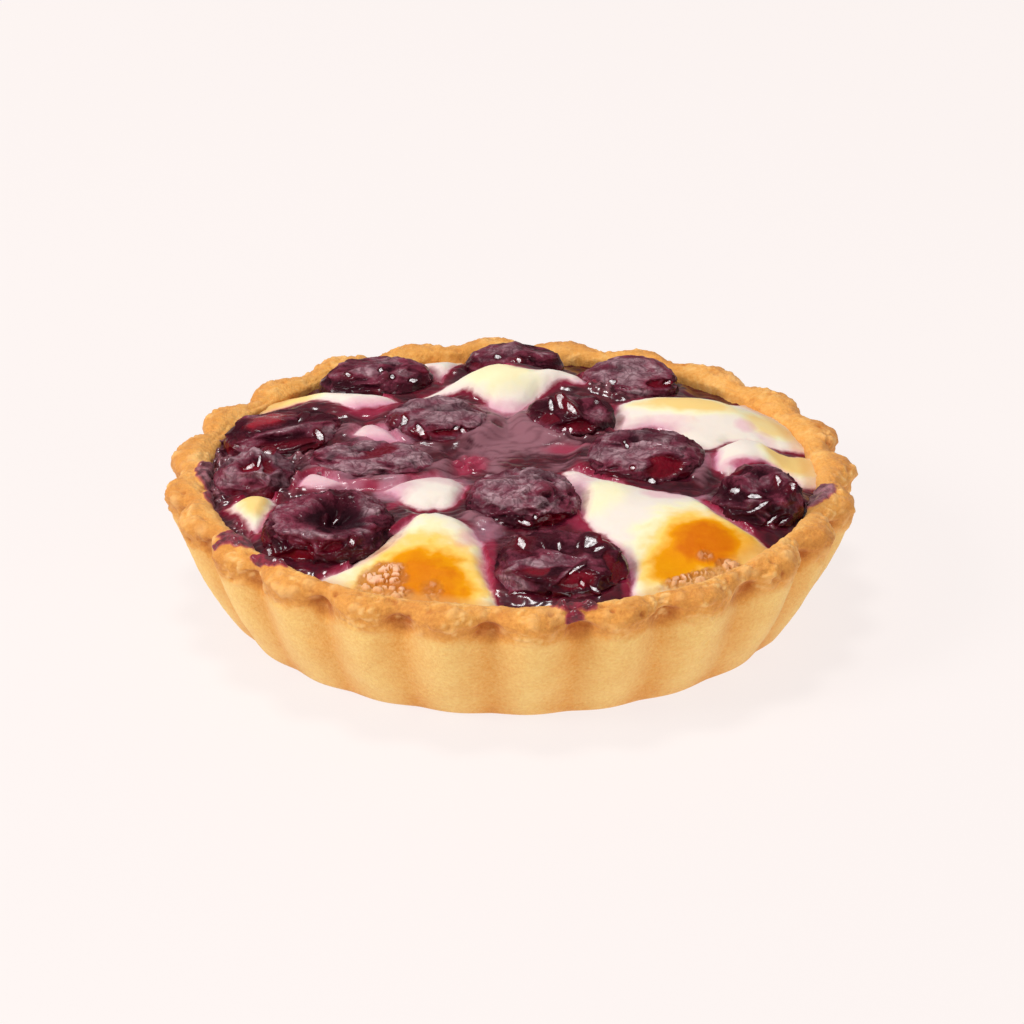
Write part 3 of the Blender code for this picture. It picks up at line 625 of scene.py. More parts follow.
def cherry_points(unit, spec):
    """Points of a cherry's skin for unit directions, and how deep each lies in the stone hole."""
    _, cx, cy, cz, half_width, half_depth, rise, drop, turn, hole = spec
    bearing, lean, size, depth = hole
    lean_sin, lean_cos = math.sin(math.radians(lean)), math.cos(math.radians(lean))
    hole_x, hole_y = place(bearing, lean_sin)
    away = np.arccos(np.clip(unit @ np.array([hole_x, hole_y, lean_cos]), -1, 1))
    phase = 0.37 * cx + 0.21 * cy
    around = np.arctan2(unit[:, 1], unit[:, 0])
    lobes = 0.5 + 0.5 * np.sin(3 * around + phase) * np.sin(2.2 * unit[:, 2] + 0.6 * phase)
    ring = np.exp(-(((away - 1.25 * size) / (0.4 * size)) ** 2))
    pit = np.exp(-((away / size) ** 4))
    scale = 1.0 - 0.06 * lobes - depth * pit - 0.05 * (1.0 - ring)
    flat = np.sign(unit[:, 2]) * np.abs(unit[:, 2]) ** 0.9
    p = np.stack([unit[:, 0] * half_width, unit[:, 1] * half_depth, flat], axis=1)
    p[:, 2] *= np.where(flat > 0, rise, drop)
    p *= scale[:, None]
    c, s = math.cos(math.radians(turn)), math.sin(math.radians(turn))
    x = cx + p[:, 0] * c - p[:, 1] * s
    y = cy + p[:, 0] * s + p[:, 1] * c
    return np.stack([x, y, cz + p[:, 2]], axis=1), pit


def new_piece(name, points, faces, masks, finish, node):
    """Mesh piece in metres that replaces a node; its masks are 0 on points past their end."""
    mesh = bpy.data.meshes.new(name)
    mesh.from_pydata((points * MM).tolist(), [], faces)
    mesh.shade_smooth()
    for mask, values in masks.items():
        padded = np.zeros(len(points), dtype=np.float32)
        padded[:len(values)] = values
        mesh.attributes.new(mask, "FLOAT", "POINT").data.foreach_set("value", padded)
    mesh.materials.append(finish)
    thing = bpy.data.objects.new(name, mesh)
    bpy.context.collection.objects.link(thing)
    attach(thing, "root")
    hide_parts(node)


def band_faces(rows, columns, closed):
    """Quads between rows of points, numbered row by row."""
    k = np.arange(rows - 1)[:, None] * columns
    j = np.arange(columns if closed else columns - 1)[None, :]
    n = (j + 1) % columns
    corners = [k + j, k + n, k + columns + n, k + columns + j]
    return np.stack(corners, axis=2).reshape(-1, 4).tolist()


def disc_grid(count):
    """Square grid pressed into a unit disc, and its quads and outline."""
    a = np.linspace(-1.0, 1.0, count)
    u, v = np.meshgrid(a, a)
    wide = np.abs(u) > np.abs(v)
    r = np.where(wide, u, v)
    with np.errstate(divide="ignore", invalid="ignore"):
        angle = np.where(wide, math.pi / 4 * v / u, math.pi / 2 - math.pi / 4 * u / v)
    angle = np.nan_to_num(angle)
    x, y = (r * np.cos(angle)).ravel(), (r * np.sin(angle)).ravel()
    i = np.arange(count * count).reshape(count, count)
    edge = np.concatenate([i[0, :-1], i[:-1, -1], i[-1, :0:-1], i[:0:-1, 0]])
    return x, y, band_faces(count, count, False), edge.tolist()


def close_below(points, faces, edge, rings):
    """Carry a disc's outline down through rings of points and cap the last."""
    low = list(edge)
    for ring in rings:
        start = len(points)
        points = np.vstack([points, ring])
        high = list(range(start, start + len(ring)))
        for k in range(len(ring)):
            n = (k + 1) % len(ring)
            faces.append((low[n], low[k], high[k], high[n]))
        low = high
    faces.append(tuple(low))
    return points, faces


# ---------------------------------------------------------------- finishes


def linear(red, green, blue):
    """Linear colour of an sRGB colour from 0 to 255."""
    def one(value):
        value /= 255.0
        return value / 12.92 if value <= 0.04045 else ((value + 0.055) / 1.055) ** 2.4
    return one(red), one(green), one(blue)


class Shade:
    """A value in a finish's nodes; arithmetic on it adds Math nodes."""

    def __init__(self, finish, socket):
        self.finish = finish
        self.socket = socket

    def math(self, operation, other=0.0, flipped=False, clamp=False):
        pair = (other, self) if flipped else (self, other)
        settings = {"operation": operation, "use_clamp": clamp}
        return self.finish.node("ShaderNodeMath", settings, {0: pair[0], 1: pair[1]})

    def __add__(self, other):
        return self.math("ADD", other)

    def __sub__(self, other):
        return self.math("SUBTRACT", other)

    def __rsub__(self, other):
        return self.math("SUBTRACT", other, flipped=True)

    def __mul__(self, other):
        return self.math("MULTIPLY", other)

    def __truediv__(self, other):
        return self.math("DIVIDE", other)

    __radd__ = __add__
    __rmul__ = __mul__

    def __abs__(self):
        return self.math("ABSOLUTE")

    def clamped(self):
        return self.math("ADD", 0.0, clamp=True)

    def steps(self, low, high):
        """0 below low to 1 above high."""
        return ((self - low) / (high - low)).clamped()


class Finish:
    """Principled material with a node graph of its own."""

    def __init__(self, name, **constants):
        self.material = bpy.data.materials.new(name)
        self.material.use_nodes = True
        self.tree = self.material.node_tree
        self.shader = self.tree.nodes["Principled BSDF"]
        self.place = self.node("ShaderNodeTexCoord", {}, {}, "Object")
        for socket, value in constants.items():
            self.shader.inputs[socket.replace("_", " ")].default_value = value

    def node(self, kind, settings, inputs, output=0):
        node = self.tree.nodes.new(kind)
        for key, value in settings.items():
            setattr(node, key, value)
        for key, value in inputs.items():
            self.feed(node.inputs[key], value)
        return Shade(self, node.outputs[output])

    def feed(self, socket, value):
        if isinstance(value, Shade):
            self.tree.links.new(value.socket, socket)
        elif isinstance(value, str):
            socket.default_value = (*linear(*TINTS[value]), 1.0)
        else:
            socket.default_value = value

    def mask(self, name):
        return self.node("ShaderNodeAttribute", {"attribute_name": name}, {}, "Fac")

    def noise(self, size, detail=3.0, roughness=0.5, distortion=0.0):
        """Noise whose swellings are a size in millimetres apart, about 0 to 1."""
        inputs = {"Vector": self.place, "Scale": 1.0 / (size * MM), "Detail": detail,
                  "Roughness": roughness, "Distortion": distortion}
        return self.node("ShaderNodeTexNoise", {}, inputs)

    def mix(self, share, low, high):
        """Colour between two; a colour is a link or the name of a tint."""
        return self.node("ShaderNodeMix", {"data_type": "RGBA"}, {0: share, 6: low, 7: high}, 2)

    def color(self, value):
        self.feed(self.shader.inputs["Base Color"], value)

    def rough(self, value):
        self.feed(self.shader.inputs["Roughness"], value)

    def coat(self, value):
        self.feed(self.shader.inputs["Coat Weight"], value)

    def relief(self, height, depth_mm, strength=1.0):
        inputs = {"Height": height, "Distance": depth_mm * MM, "Strength": strength}
        bumped = self.node("ShaderNodeBump", {}, inputs, "Normal")
        self.feed(self.shader.inputs["Normal"], bumped)


def crust_finish():
    """Shortcrust: sandy gold, browner at the rim, painted shade in the grooves and hollows,
    stained where juice ran.
    """
    f = Finish("baked_shortcrust", Subsurface_Weight=0.08, Subsurface_Scale=0.0012,
               Specular_IOR_Level=0.3, Coat_Roughness=0.15, Sheen_Weight=0.1)
    f.shader.inputs["Subsurface Radius"].default_value = (1.0, 0.55, 0.25)
    speckle = f.noise(0.5, 4.0, 0.65)
    blotch = f.noise(6.0, 3.0, 0.6)
    # Browning and painted shade, from pale gold to brown
    bake_and_shade = (f.mask("bake_and_shade") + (speckle - 0.5) * 0.65 + (blotch - 0.5) * 0.4).clamped()
    base = f.mix(bake_and_shade.steps(0.0, 0.5), "pale_crust", "gold_crust")
    base = f.mix(bake_and_shade.steps(0.5, 1.0), base, "brown_crust")
    # Light crumbs, partly painted highlight on raised bits
    base = f.mix(f.mask("crumb") * 0.7, base, "crumb")
    juice = (f.mask("juice") + (speckle - 0.5) * 0.3).clamped()
    pulp = f.noise(1.4, 3.0, 0.6)
    base = f.mix(juice.steps(0.15, 0.45), base, "soaked_crust")
    wet_pulp = f.mix(pulp.steps(0.4, 0.6), "dark_pulp", "bright_pulp")
    base = f.mix(juice.steps(0.4, 0.8), base, wet_pulp)
    dull = (f.mask("dull") + (speckle - 0.5) * 0.5).clamped()
    dry_pulp = f.mix(pulp.steps(0.4, 0.6), "dull_pulp", "pale_pulp")
    base = f.mix(dull.steps(0.2, 0.8), base, dry_pulp)
    f.color(base)
    f.rough(0.8 - juice * 0.15)
    f.coat(juice.steps(0.4, 0.9) * 0.5)
    f.relief(speckle * 0.7 + f.noise(0.25, 2.0) * 0.3, 0.25, 0.8)
    return f.material


def custard_finish():
    """Baked custard, white, yellow or toasted, in cherry juice with a dull skin, its mauve partly
    painted sheen.
    """
    f = Finish("baked_custard", Subsurface_Weight=0.2, Subsurface_Scale=0.002,
               Specular_IOR_Level=0.06, Coat_Roughness=0.14)
    f.shader.inputs["Subsurface Radius"].default_value = (1.0, 0.6, 0.5)
    fine = f.noise(0.9, 3.0, 0.6)
    broad = f.noise(3.5, 3.0, 0.6)
    toast = f.mask("toast") + (fine - 0.5) * 0.12 + (broad - 0.5) * 0.3
    yolk = f.mask("yolk") + (broad - 0.5) * 0.3
    stain = f.mask("stain") + (fine - 0.5) * 0.3
    shore = f.mask("shore") + (fine - 0.5) * 0.5 + (broad - 0.5) * 0.5

    cream = f.mix(yolk.steps(0.0, 0.4), "white_custard", "lemon_custard")
    cream = f.mix(yolk.steps(0.35, 0.95), cream, "yolk_custard")
    cream = f.mix(toast.steps(0.05, 0.4), cream, "light_toast")
    cream = f.mix(toast.steps(0.35, 0.75), cream, "toast")
    cream = f.mix(toast.steps(0.75, 1.15), cream, "deep_toast")
    flake = f.mask("flake") + (fine - 0.5) * 0.3
    # Flakes: brown, left in the cracks and on low shards as painted shade; lighter on the taller
    # shards
    cream = f.mix(flake.steps(0.1, 0.5) * 0.8, cream, "flake_brown_and_shade")
    shard = f.mask("shard") + (fine - 0.5) * 0.5
    cream = f.mix(flake.steps(0.3, 0.9) * shard.steps(0.3, 0.65), cream, "flake")
    cream = f.mix(f.mask("brim") * 0.55, cream, "brim")
    edge = 1.0 - shore.steps(0.0, 1.3)
    near = f.mask("near") + (broad - 0.5) * 0.7
    tender = 1.0 - toast.steps(0.2, 0.6)
    pink = (stain * 0.6 + (edge * 0.5 + near.steps(0.3, 1.0) * 0.4) * tender).clamped()
    cream = f.mix(pink.steps(0.1, 0.9), cream, "pink_custard")
    cherry_side = ((edge + near * 0.7 - 0.85) * tender).steps(0.0, 0.9)
    cream = f.mix((cherry_side + stain.steps(0.9, 1.3) * 0.8).clamped(), cream, "cherry_side")
    cream = f.mix(near.steps(0.9, 1.2) * tender * 0.8, cream, "cherry_edge")

    film = f.mask("film") + (broad - 0.5) * 0.7
    juice = f.mix(broad.steps(0.35, 0.7), "deep_juice", "juice")
    beads = f.mix(fine.steps(0.4, 0.65), "dark_bead", "pale_bead")
    juice = f.mix(f.mask("bead") * 0.7, juice, beads)
    # Dull juice skin, its mauve partly painted sheen
    juice = f.mix(film.steps(0.25, 0.8), juice, "juice_skin_sheen")
    # Painted shade in the juice's creases, less under the skin of juice
    juice = f.mix(f.mask("fold_shade") * (1.0 - film.steps(0.5, 0.9) * 0.65), juice, "juice_fold_shade")
    juice = f.mix(f.mask("bright") * 0.8, juice, "bright_juice")
    banks = shore.steps(-1.2, 0.0)
    juice = f.mix(banks * 0.7, juice, "juice_bank")

    whole = shore.steps(-0.2, 0.5)
    haze = (f.mask("haze") + (broad - 0.5) * 0.8 + (fine - 0.5) * 0.4).clamped()
    haze = haze * f.mask("haze").steps(0.0, 0.3)
    f.color(f.mix(haze * 0.6, f.mix(whole, juice, cream), "haze"))
    f.rough(0.35 + whole * 0.15 + film.steps(0.3, 0.8) * 0.1)
    f.coat((1.0 - whole) * (0.6 - film.steps(0.3, 0.8) * 0.5))
    f.relief(fine + f.noise(0.3, 2.0) * 0.5, 0.07, 0.4)
    return f.material


def cherry_finish():
    """Baked sour cherry: near-black purple flesh, wine red where thin, dull skin on top in painted
    sheen, painted shade in hollows.
    """
    f = Finish("baked_cherry", Subsurface_Weight=0.04, Subsurface_Scale=0.0012,
               Specular_IOR_Level=0.05, Coat_Roughness=0.08)
    f.shader.inputs["Subsurface Radius"].default_value = (1.0, 0.12, 0.15)
    fine = f.noise(0.8, 3.0, 0.6)
    red = f.mask("red") + (fine - 0.5) * 0.3
    # Painted sheen: the dull skin's mauve, from faint to bright
    satin = f.mask("satin") + (fine - 0.5) * 0.35 + (f.noise(0.5, 2.0, 0.6) - 0.5) * 0.6
    skin = f.mix(f.noise(2.2).steps(0.35, 0.65), "dim_skin_sheen", "bright_skin_sheen")
    base = f.mix(red.steps(0.2, 0.8), "flesh", "red_flesh")
    base = f.mix(red.steps(0.95, 1.35), base, "glowing_flesh")
    base = f.mix(satin.steps(0.1, 0.5), base, "faint_skin_sheen")
    base = f.mix(satin.steps(0.5, 0.9), base, skin)
    # Crinkle lines: sunk in the bump and darkened as painted shade
    broad_lines, fine_lines = ((1.0 - abs(f.noise(*grain) - 0.5) * 14.0).clamped()
                               for grain in ((2.4, 2.0, 0.6, 0.8), (1.5, 1.0, 0.5, 0.6)))
    shaded_crinkle = (broad_lines + fine_lines * 0.6).clamped()
    base = f.mix(shaded_crinkle * satin.steps(0.2, 0.7) * 0.6, base, "shaded_crinkle")
    # Painted shade in the hollows and creases, near black
    hollow_shade = f.mask("hollow_shade")
    base = f.mix(hollow_shade * 0.9, base, "shaded_hollow")
    f.color(base)
    wet = f.mask("wet")
    f.rough(0.5 - wet * 0.35 + hollow_shade * 0.3)
    f.coat(wet * (1.0 - hollow_shade * 0.8) * (0.3 + f.noise(0.45, 2.0, 0.7).steps(0.38, 0.6) * 0.7))
    f.relief((f.noise(1.3, 4.0, 0.6) + fine * 0.5 - shaded_crinkle * 0.8) * (1.0 - wet * 0.6), 0.14, 0.6)
    return f.material


def floor_finish():
    """Pale matt table."""
    f = Finish("pale_table", Roughness=0.6, Specular_IOR_Level=0.2, Emission_Strength=0.84,
               Emission_Color=(1.0, 0.93, 0.91, 1.0))
    f.color(f.mix(f.noise(160.0, 1.0), "table", "dim_table"))
    return f.material


# ---------------------------------------------------------------- pieces


def make_crust(grain):
    outline = crust_outline(CRUST_ROWS)
    bearing = np.arange(CRUST_COLUMNS) * 360.0 / CRUST_COLUMNS
    b = np.tile(bearing, CRUST_ROWS)
    radius, height, depth = (np.repeat(outline[:, k], CRUST_COLUMNS) for k in range(3))
    slope = np.gradient(outline[:, :2], axis=0)
    slope /= np.linalg.norm(slope, axis=1)[:, None]
    out_r = np.repeat(slope[:, 1], CRUST_COLUMNS)
    out_z = np.repeat(-slope[:, 0], CRUST_COLUMNS)
    r, z = crust_form(b, radius, height, depth)
    groove = 1.0 - flute(b)
    from_top = np.arange(CRUST_ROWS) - np.argmax(outline[:, 1])
    inside = np.repeat(smooth(-5.0, 5.0, from_top), CRUST_COLUMNS)
    outer = 1.0 - inside
    x, y = place(b, r)
    p = np.stack([x, y, z], axis=1)

    from_groove = np.radians(np.degrees(np.arccos(np.clip(-wave(b), -1.0, 1.0))) / FLUTES) * r
    over = z - DIMPLE_HEIGHT
    dimple = np.hypot(from_groove / 2.4, over / np.where(over > 0, 1.5, 3.0))
    dimple = outer * smooth(1.15, 0.45, dimple + 0.15 * grain.soft(p, 2.0))
    ragged = CRAG_EDGE + 1.2 * groove + grain.layers(p, 3.5)
    zone = smooth(-0.8, 0.8, z - ragged) * (1.0 - 0.5 * inside)
    patchy = smooth(0.0, 0.5, grain.layers(p + 40.0, 4.0))
    crumb = grain.crumbs(p + 0.3 * grain.soft(p, 1.0)[:, None], 1.0)
    pits = smooth(0.34, 0.16, grain.crumbs(p + 20.0, 2.2))
    pits = pits * smooth(-0.2, 0.3, grain.layers(p + 60.0, 6.0))
    lumps = smooth(0.7, 0.2, grain.crumbs(p + 80.0, 2.0))
    lumps = lumps * smooth(-0.1, 0.4, grain.layers(p + 25.0, 5.0))
    above = smooth(0.5, 2.0, z)
    rise = -DIMPLE_DEPTH * dimple
    crags = CRAG_HEIGHT * grain.layers(p, 1.6, 3, 0.6) + patchy * (0.25 - 0.5 * crumb) - 0.1
    rise += zone * crags * (1 - dimple)
    rise += LUMP_HEIGHT * zone * lumps * (1 - dimple)
    rise += above * (0.12 * grain.layers(p, 6.0) + 0.035 * grain.layers(p, 1.2))
    rise -= PIT_DEPTH * pits * above * (0.4 + 0.6 * zone)
    shaded_hollow = bell(oval(b, z, *RIM_HOLLOW), 1.0) * inside
    rise -= shaded_hollow

    juice = np.zeros(len(p))
    dull = np.zeros(len(p))
    for *where, lowest, strength, dullness in RIM_JUICE:
        away = oval(x, y, *where) + 0.15 * grain.layers(p, 2.0)
        away = away + 4.0 * smooth(lowest + 0.5, lowest - 0.8, z)
        share = strength * smooth(1.2, 0.8, away)
        juice = np.maximum(juice, share)
        dull = np.maximum(dull, share * dullness)
    drops = smooth(0.7, 0.1, grain.crumbs(p + 30.0, 1.5))
    rise += juice * (0.4 + 0.3 * grain.soft(p, 1.3) + 0.5 * drops)
    r = r + rise * out_r
    z = np.maximum(z + rise * out_z, 0.0)
    x, y = place(b, r)
    points = np.stack([x, y, z], axis=1)

    # Browning at the rim, the foot, the rim's inside and in patches; painted shade in the grooves,
    # the dimples under the lip, the pits and the rim's hollow
    bake_and_shade = 0.1 + 0.3 * groove + 0.1 * bell(z, 2.0)
    bake_and_shade = bake_and_shade + (RIM_BAKE - bake_and_shade) * smooth(13.6, 17.0, z)
    bake_and_shade = bake_and_shade + (INSIDE_BAKE - bake_and_shade) * inside + 0.15 * zone * (1 - patchy) + DIMPLE_SHADE * dimple
    bake_and_shade = bake_and_shade + 0.3 * pits * zone + 0.35 * shaded_hollow
    # Light crumbs, partly painted highlight on the raised lumps and crumbs
    crumbs_and_highlight = zone * np.maximum(patchy * smooth(0.55, 0.2, crumb), 0.7 * lumps)
    masks = {"bake_and_shade": bake_and_shade, "crumb": crumbs_and_highlight, "juice": juice, "dull": dull}
    faces = band_faces(CRUST_ROWS, CRUST_COLUMNS, True)
    faces.append(tuple(range(CRUST_COLUMNS - 1, -1, -1)))
    last = (CRUST_ROWS - 1) * CRUST_COLUMNS
    faces.append(tuple(range(last, last + CRUST_COLUMNS)))
    new_piece("case", points, faces, masks, crust_finish(), "crust")


def patch_reach(x, y, corners):
    """Distance in from a patch's shore, negative outside it."""
    nearest = np.full(len(x), 99.0)
    within = np.zeros(len(x), dtype=bool)
    for (ax, ay), (bx, by) in zip(corners, corners[1:] + corners[:1]):
        ex, ey = bx - ax, by - ay
        t = np.clip(((x - ax) * ex + (y - ay) * ey) / (ex * ex + ey * ey), 0.0, 1.0)
        nearest = np.minimum(nearest, np.hypot(x - ax - t * ex, y - ay - t * ey))
        if ey:
            within ^= ((ay > y) != (by > y)) & (x < ax + ex * (y - ay) / ey)
    return np.where(within, nearest, -nearest)


def spots_of(kind, x, y, rough):
    """Strength of a kind of place over the filling, with uneven edges."""
    total = np.zeros(len(x))
    for *where, strength in SPOTS[kind]:
        total = np.maximum(total, strength * smooth(1.35, 0.45, oval(x, y, *where) + rough))
    return total


def make_custard(grain):
    x, y, faces, edge = disc_grid(CUSTARD_GRID)
    back = thinness(np.degrees(np.arctan2(x, -y))) * smooth(0.6, 1.0, np.hypot(x, y))
    wide = INNER_TOP[0] + CUSTARD_OVERLAP + back
    x, y = x * wide, y * wide
    flat = np.stack([x, y, np.zeros_like(x)], axis=1)
    gap = np.full(len(x), 99.0)
    under = np.full(len(x), 9.0)
    for _, cx, cy, _, half_width, half_depth, _, _, turn, _ in CHERRIES:
        away = oval(x, y, cx, cy, half_width, half_depth, turn)
        under = np.minimum(under, away)
        gap = np.minimum(gap, (away - 1.0) * math.sqrt(half_width * half_depth))
    gap = np.maximum(gap, 0.0)
    rough = 0.16 * grain.layers(flat, 2.4, 3)
    shore = np.max([patch_reach(x, y, corners) for corners in PATCHES.values()], axis=0)
    shore = np.clip(shore + 0.45 * grain.layers(flat + 5.0, 2.2, 3), -4.0, 6.0)
    kinds = {kind: spots_of(kind, x, y, rough) for kind in SPOTS}
    kinds["film"] = kinds["film"] * (1.0 - 0.9 * kinds.pop("wrinkle"))
    whole = smooth(-0.2, 0.4, shore)
    wet = 1.0 - whole

    z = custard_height(x, y) + SHORE_STEP * smooth(-0.8, 2.2, shore) - JUICE_DROP
    z = z + whole * (0.1 * grain.layers(flat, 5.0, 3) - 0.4 * bell(gap, 0.9))
    z = z + wet * (0.8 + 0.8 * kinds["film"]) * bell(gap, 1.5)
    kinds["near"] = smooth(2.6, 0.2, gap)
    folds = grain.creases(flat * (1.0, 2.2, 1.0) + 0.5 * grain.soft(flat, 4.0)[:, None], 4.0, 2)
    furrows = 0.35 * (folds - 0.4) + 0.12 * grain.layers(flat, 2.0, 2)
    z = z + wet * (1.0 - 0.78 * kinds["film"]) * furrows
    # Painted shade in the creases of the juice
    kinds["fold_shade"] = smooth(0.5, 0.05, folds)
    beads = smooth(0.75, 0.1, grain.crumbs(flat + 0.3 * grain.soft(flat, 1.5)[:, None], 1.5))
    z = z + wet * kinds["bead"] * BEAD_HEIGHT * (beads - 0.3)
    kinds["shard"] = grain.shards(flat + 0.4 * grain.soft(flat + 3.0, 1.2)[:, None], 1.15)
    z = z + kinds["flake"] * FLAKE_HEIGHT * (kinds["shard"] - 0.25)
    kinds["brim"] = smooth(4.0, 2.0, wide - np.hypot(x, y))
    z = z - UNDER_CHERRY_DROP * smooth(0.86, 0.4, under)
    points = np.stack([x, y, z], axis=1)

    rim = points[edge]
    angle = np.degrees(np.arctan2(rim[:, 0], -rim[:, 1]))
    rings = []
    for radius, height in (INNER_MIDDLE, FLOOR_EDGE):
        rx, ry = place(angle, radius - 0.4)
        rings.append(np.stack([rx, ry, np.full_like(rx, height + 0.4)], axis=1))
    points, faces = close_below(points, faces, edge, rings)
    masks = {"shore": shore, **kinds}
    new_piece("filling", points, faces, masks, custard_finish(), "custard")


def make_cherry(spec, grain, finish):
    """Cherry with its folds, windows of thin red skin, a dull skin in painted sheen, and painted
    shade in creases.
    """
    name, cx, cy, cz, half_width, half_depth, *_, hole = spec
    width, deep, stretch, bearing, painted_sheen_share, red_share = SKINS[name]
    x, y, faces, edge = disc_grid(CHERRY_GRID)
    lean = np.hypot(x, y) * CHERRY_REACH
    around = np.arctan2(y, x)
    side = np.sin(lean)
    unit = np.stack([side * np.cos(around), side * np.sin(around), np.cos(lean)], axis=1)
    points, pit = cherry_points(unit, spec)
    middle = np.array([cx, cy, cz])

    size = 0.5 * (half_width + half_depth)
    q = unit * size + middle
    q = q + 0.8 * np.stack([grain.layers(q + 31.0 * k, 3.6, 2) for k in (1, 2, 3)], axis=1)
    along = np.array([*place(bearing, 1.0), 0.0])
    q = q - np.outer(q @ along, along) * (1.0 - 1.0 / stretch)
    ridges = np.clip(1.0 - 1.5 * np.abs(grain.soft(q, width)), 0.0, 1.0) ** 2
    finer = np.clip(1.0 - 1.5 * np.abs(grain.soft(q + 17.0, width * 0.5)), 0.0, 1.0)
    ridges = ridges + 0.45 * finer**2
    swell = grain.layers(q + 50.0, 5.0, 2)
    high = unit[:, 2]
    # Painted sheen: the dull skin turns lighter mauve towards the top, standing in for the room's
    # reflection
    satin = painted_sheen_share + 0.5 * (high - 0.75) + 0.45 * grain.layers(q + 70.0, 3.0, 2)
    satin = smooth(0.1, 0.9, satin)
    red = smooth(0.1, 0.9, red_share - 0.3 * high + 0.5 * grain.layers(q + 90.0, 4.0, 2))
    # Painted shade: darker in the stone hole, in the dips and in the creases
    hollow_shade = smooth(0.2, 0.9, pit * hole[3] * 2.2) + 0.6 * smooth(0.1, -0.5, swell)
    hollow_shade = hollow_shade + 0.6 * smooth(0.26, 0.0, ridges)
    wet = smooth(0.6, 0.2, satin) * (0.2 + 0.6 * smooth(0.6, 0.1, high))
    calm = 1.0 - 0.55 * smooth(0.8, 1.0, np.hypot(unit[:, 0], unit[:, 1]))
    calm = (1.0 - 0.6 * pit) * calm
    form = np.zeros(len(q))

    slant = math.radians(SLANT)
    across = points[:, 0] - cx
    up = (points[:, 1] - cy) * math.sin(slant) + (points[:, 2] - cz) * math.cos(slant)
    front = smooth(-0.45, -0.1, high * math.sin(slant) - unit[:, 1] * math.cos(slant))
    bend = 0.2 * grain.layers(q + 7.0, 2.2, 3)
    bent_across = across + 0.8 * grain.layers(q + 13.0, 3.5, 2)
    bent_up = up + 0.35 * grain.layers(q + 23.0, 3.5, 2)
    skin = {"red": red, "satin": satin, "hollow_shade": hollow_shade, "wet": wet}
    for kind, *where, strength in FEATURES[name]:
        d = oval(bent_across, bent_up, *where) + bend
        share = strength * front
        soft_edge, raised, calming, changes = SHAPES[kind]
        flat = share * (smooth(*soft_edge, d) if soft_edge else bell(d, 1.0))
        calm = calm * (1 - calming * flat)
        for mask, (hidden, brought) in changes.items():
            skin[mask] = np.maximum(skin[mask] * (1 - hidden * flat), brought * flat)
        brow = 0.0
        if kind in ("window", "pit"):
            skin["wet"] = skin["wet"] + (0.5 - skin["wet"]) * flat
        if kind == "window":
            brow = 0.2 * share * bell(d - 1.25, 0.3)
        if kind == "pit":
            lip = share * bell(d - 1.4, 0.25) * smooth(0.8, -0.5, bent_up - where[1])
            skin["satin"] = np.maximum(skin["satin"], 0.7 * lip)
            brow = 0.6 * lip
        form += brow + raised * flat
    red, satin, hollow_shade, wet = skin.values()
    lift = calm * (CREASE_HEIGHT * deep * (ridges - 0.4) + SWELL_HEIGHT * swell) + form
    # Painted sheen on the ridge crests too
    satin = np.clip(satin * (0.75 + 0.25 * ridges) + 0.25 * calm * ridges * painted_sheen_share, 0, 1)
    out = points - middle
    out /= np.linalg.norm(out, axis=1)[:, None]
    points = points + lift[:, None] * out
    facing = np.maximum(out @ np.array(FACET), 0.3)
    for where in GLINTS[name]:
        d = oval(across, up, *where) + 9.0 * (front < 0.5)
        flat = smooth(1.6, 0.9, d)
        shine = smooth(1.4, 0.5, d + 0.35 * grain.soft(q + 3.0, 0.8))
        gap = (points[np.argmin(d)] - points) @ np.array(FACET) / facing
        points = points + (flat * np.clip(gap, -FACET_REACH, FACET_REACH))[:, None] * out
        satin, hollow_shade, wet = satin * (1 - flat), hollow_shade * (1 - flat), wet * (1 - flat) + 0.6 * shine

    # Painted sheen where the juice skin runs over a cherry's top
    film = spots_of("film", points[:, 0], points[:, 1], 0.15 * grain.layers(points, 2.4))
    satin = np.maximum(satin, 0.8 * film * smooth(0.6, 0.2, high) * (1 - hollow_shade))

    ring = points[edge] - (0.0, 0.0, 1.5)
    ring[:, :2] = (ring[:, :2] - (cx, cy)) * 0.6 + (cx, cy)
    points, faces = close_below(points, faces, edge, [ring])
    masks = {"satin": satin, "red": red, "hollow_shade": np.clip(hollow_shade, 0, 1), "wet": wet}
    new_piece("skin_of_cherry_" + name, points, faces, masks, finish, "cherry_" + name)


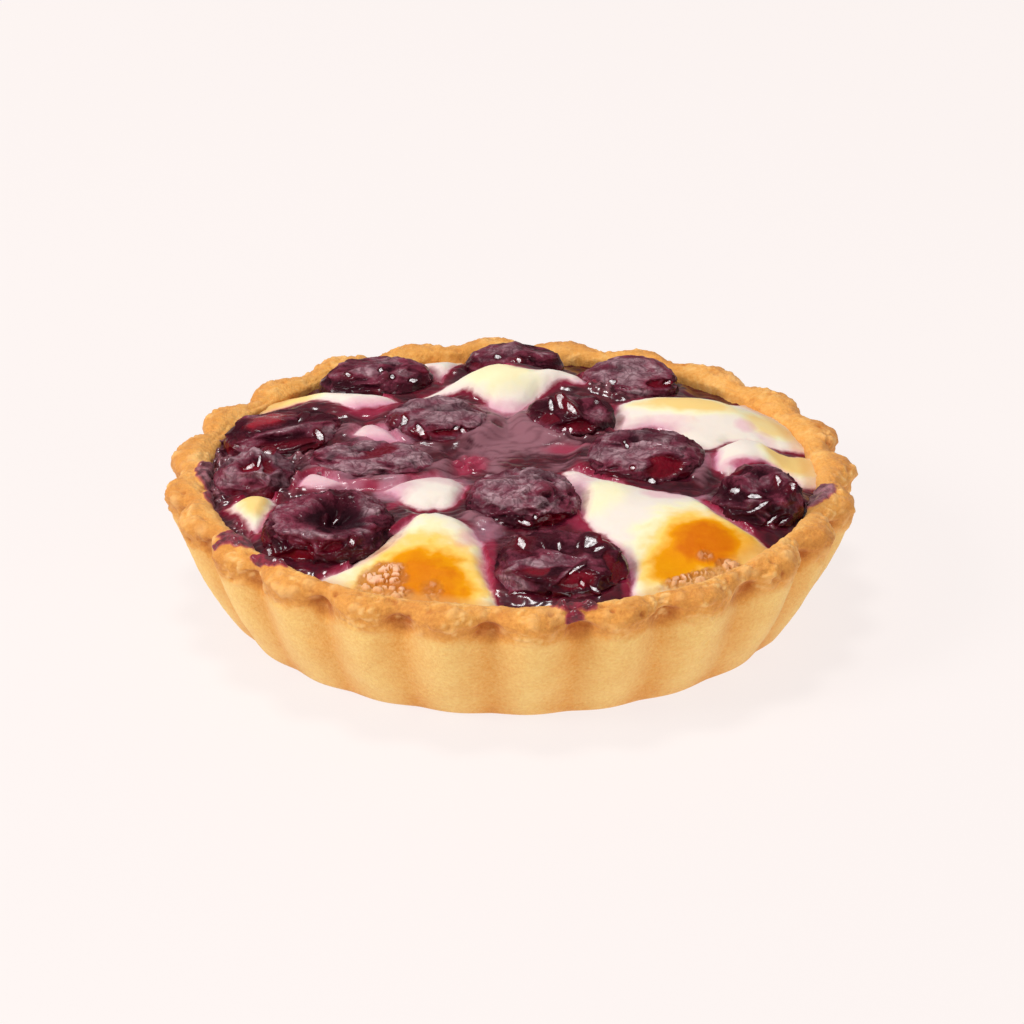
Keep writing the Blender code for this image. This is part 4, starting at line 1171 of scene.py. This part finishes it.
def make_floor():
    mesh = bpy.data.meshes.new("table")
    ends = ((-1, -1), (1, -1), (1, 1), (-1, 1))
    corners = [(TABLE_HALF * x, TABLE_HALF * y, 0.0) for x, y in ends]
    mesh.from_pydata(corners, [], [(0, 1, 2, 3)])
    mesh.materials.append(floor_finish())
    table = bpy.data.objects.new("table", mesh)
    table.location.z = -TABLE_DROP
    bpy.context.collection.objects.link(table)


def make_camera():
    """Camera in front of the tartlet and above it, far off with a long lens."""
    lean = math.radians(VIEW_RISE)
    ahead = Vector((0.0, math.cos(lean), -math.sin(lean)))
    right = Vector((1.0, 0.0, 0.0))
    up = right.cross(ahead)
    aim = Vector((0.0, 0.0, AIM_HEIGHT)) - up * AIM_DROP
    data = bpy.data.cameras.new("view")
    data.lens = LENS
    data.sensor_width = SENSOR
    data.clip_start = 0.01
    data.clip_end = 20.0
    camera = bpy.data.objects.new("view", data)
    turn = Matrix((right, up, -ahead)).transposed().to_4x4()
    turn.translation = aim - ahead * VIEW_DISTANCE
    camera.matrix_world = turn
    bpy.context.collection.objects.link(camera)
    bpy.context.scene.camera = camera


def make_lamp(name, where, size, watts):
    data = bpy.data.lights.new(name, "AREA")
    data.shape = "SQUARE"
    data.size = size
    data.energy = watts
    lamp = bpy.data.objects.new(name, data)
    lamp.location = where
    aim = Vector((0.0, 0.0, 0.01)) - Vector(where)
    lamp.rotation_euler = aim.to_track_quat("-Z", "Y").to_euler()
    bpy.context.collection.objects.link(lamp)


def make_light():
    """Soft daylight: a big window at the left, a softer one above, and pale walls all round."""
    for lamp in LAMPS:
        make_lamp(*lamp)
    world = bpy.data.worlds.new("room")
    world.use_nodes = True
    sky = world.node_tree.nodes["Background"]
    sky.inputs["Color"].default_value = ROOM_LIGHT
    sky.inputs["Strength"].default_value = ROOM_STRENGTH
    bpy.context.scene.world = world


def make_tartlet():
    make_crust(Grain(CRUST_SEED))
    make_custard(Grain(CUSTARD_SEED))
    finish = cherry_finish()
    for k, spec in enumerate(CHERRIES):
        make_cherry(spec, Grain(CHERRY_SEED + k), finish)


make_camera()
make_light()
make_floor()
make_tartlet()
bpy.context.scene.view_settings.view_transform = "Standard"
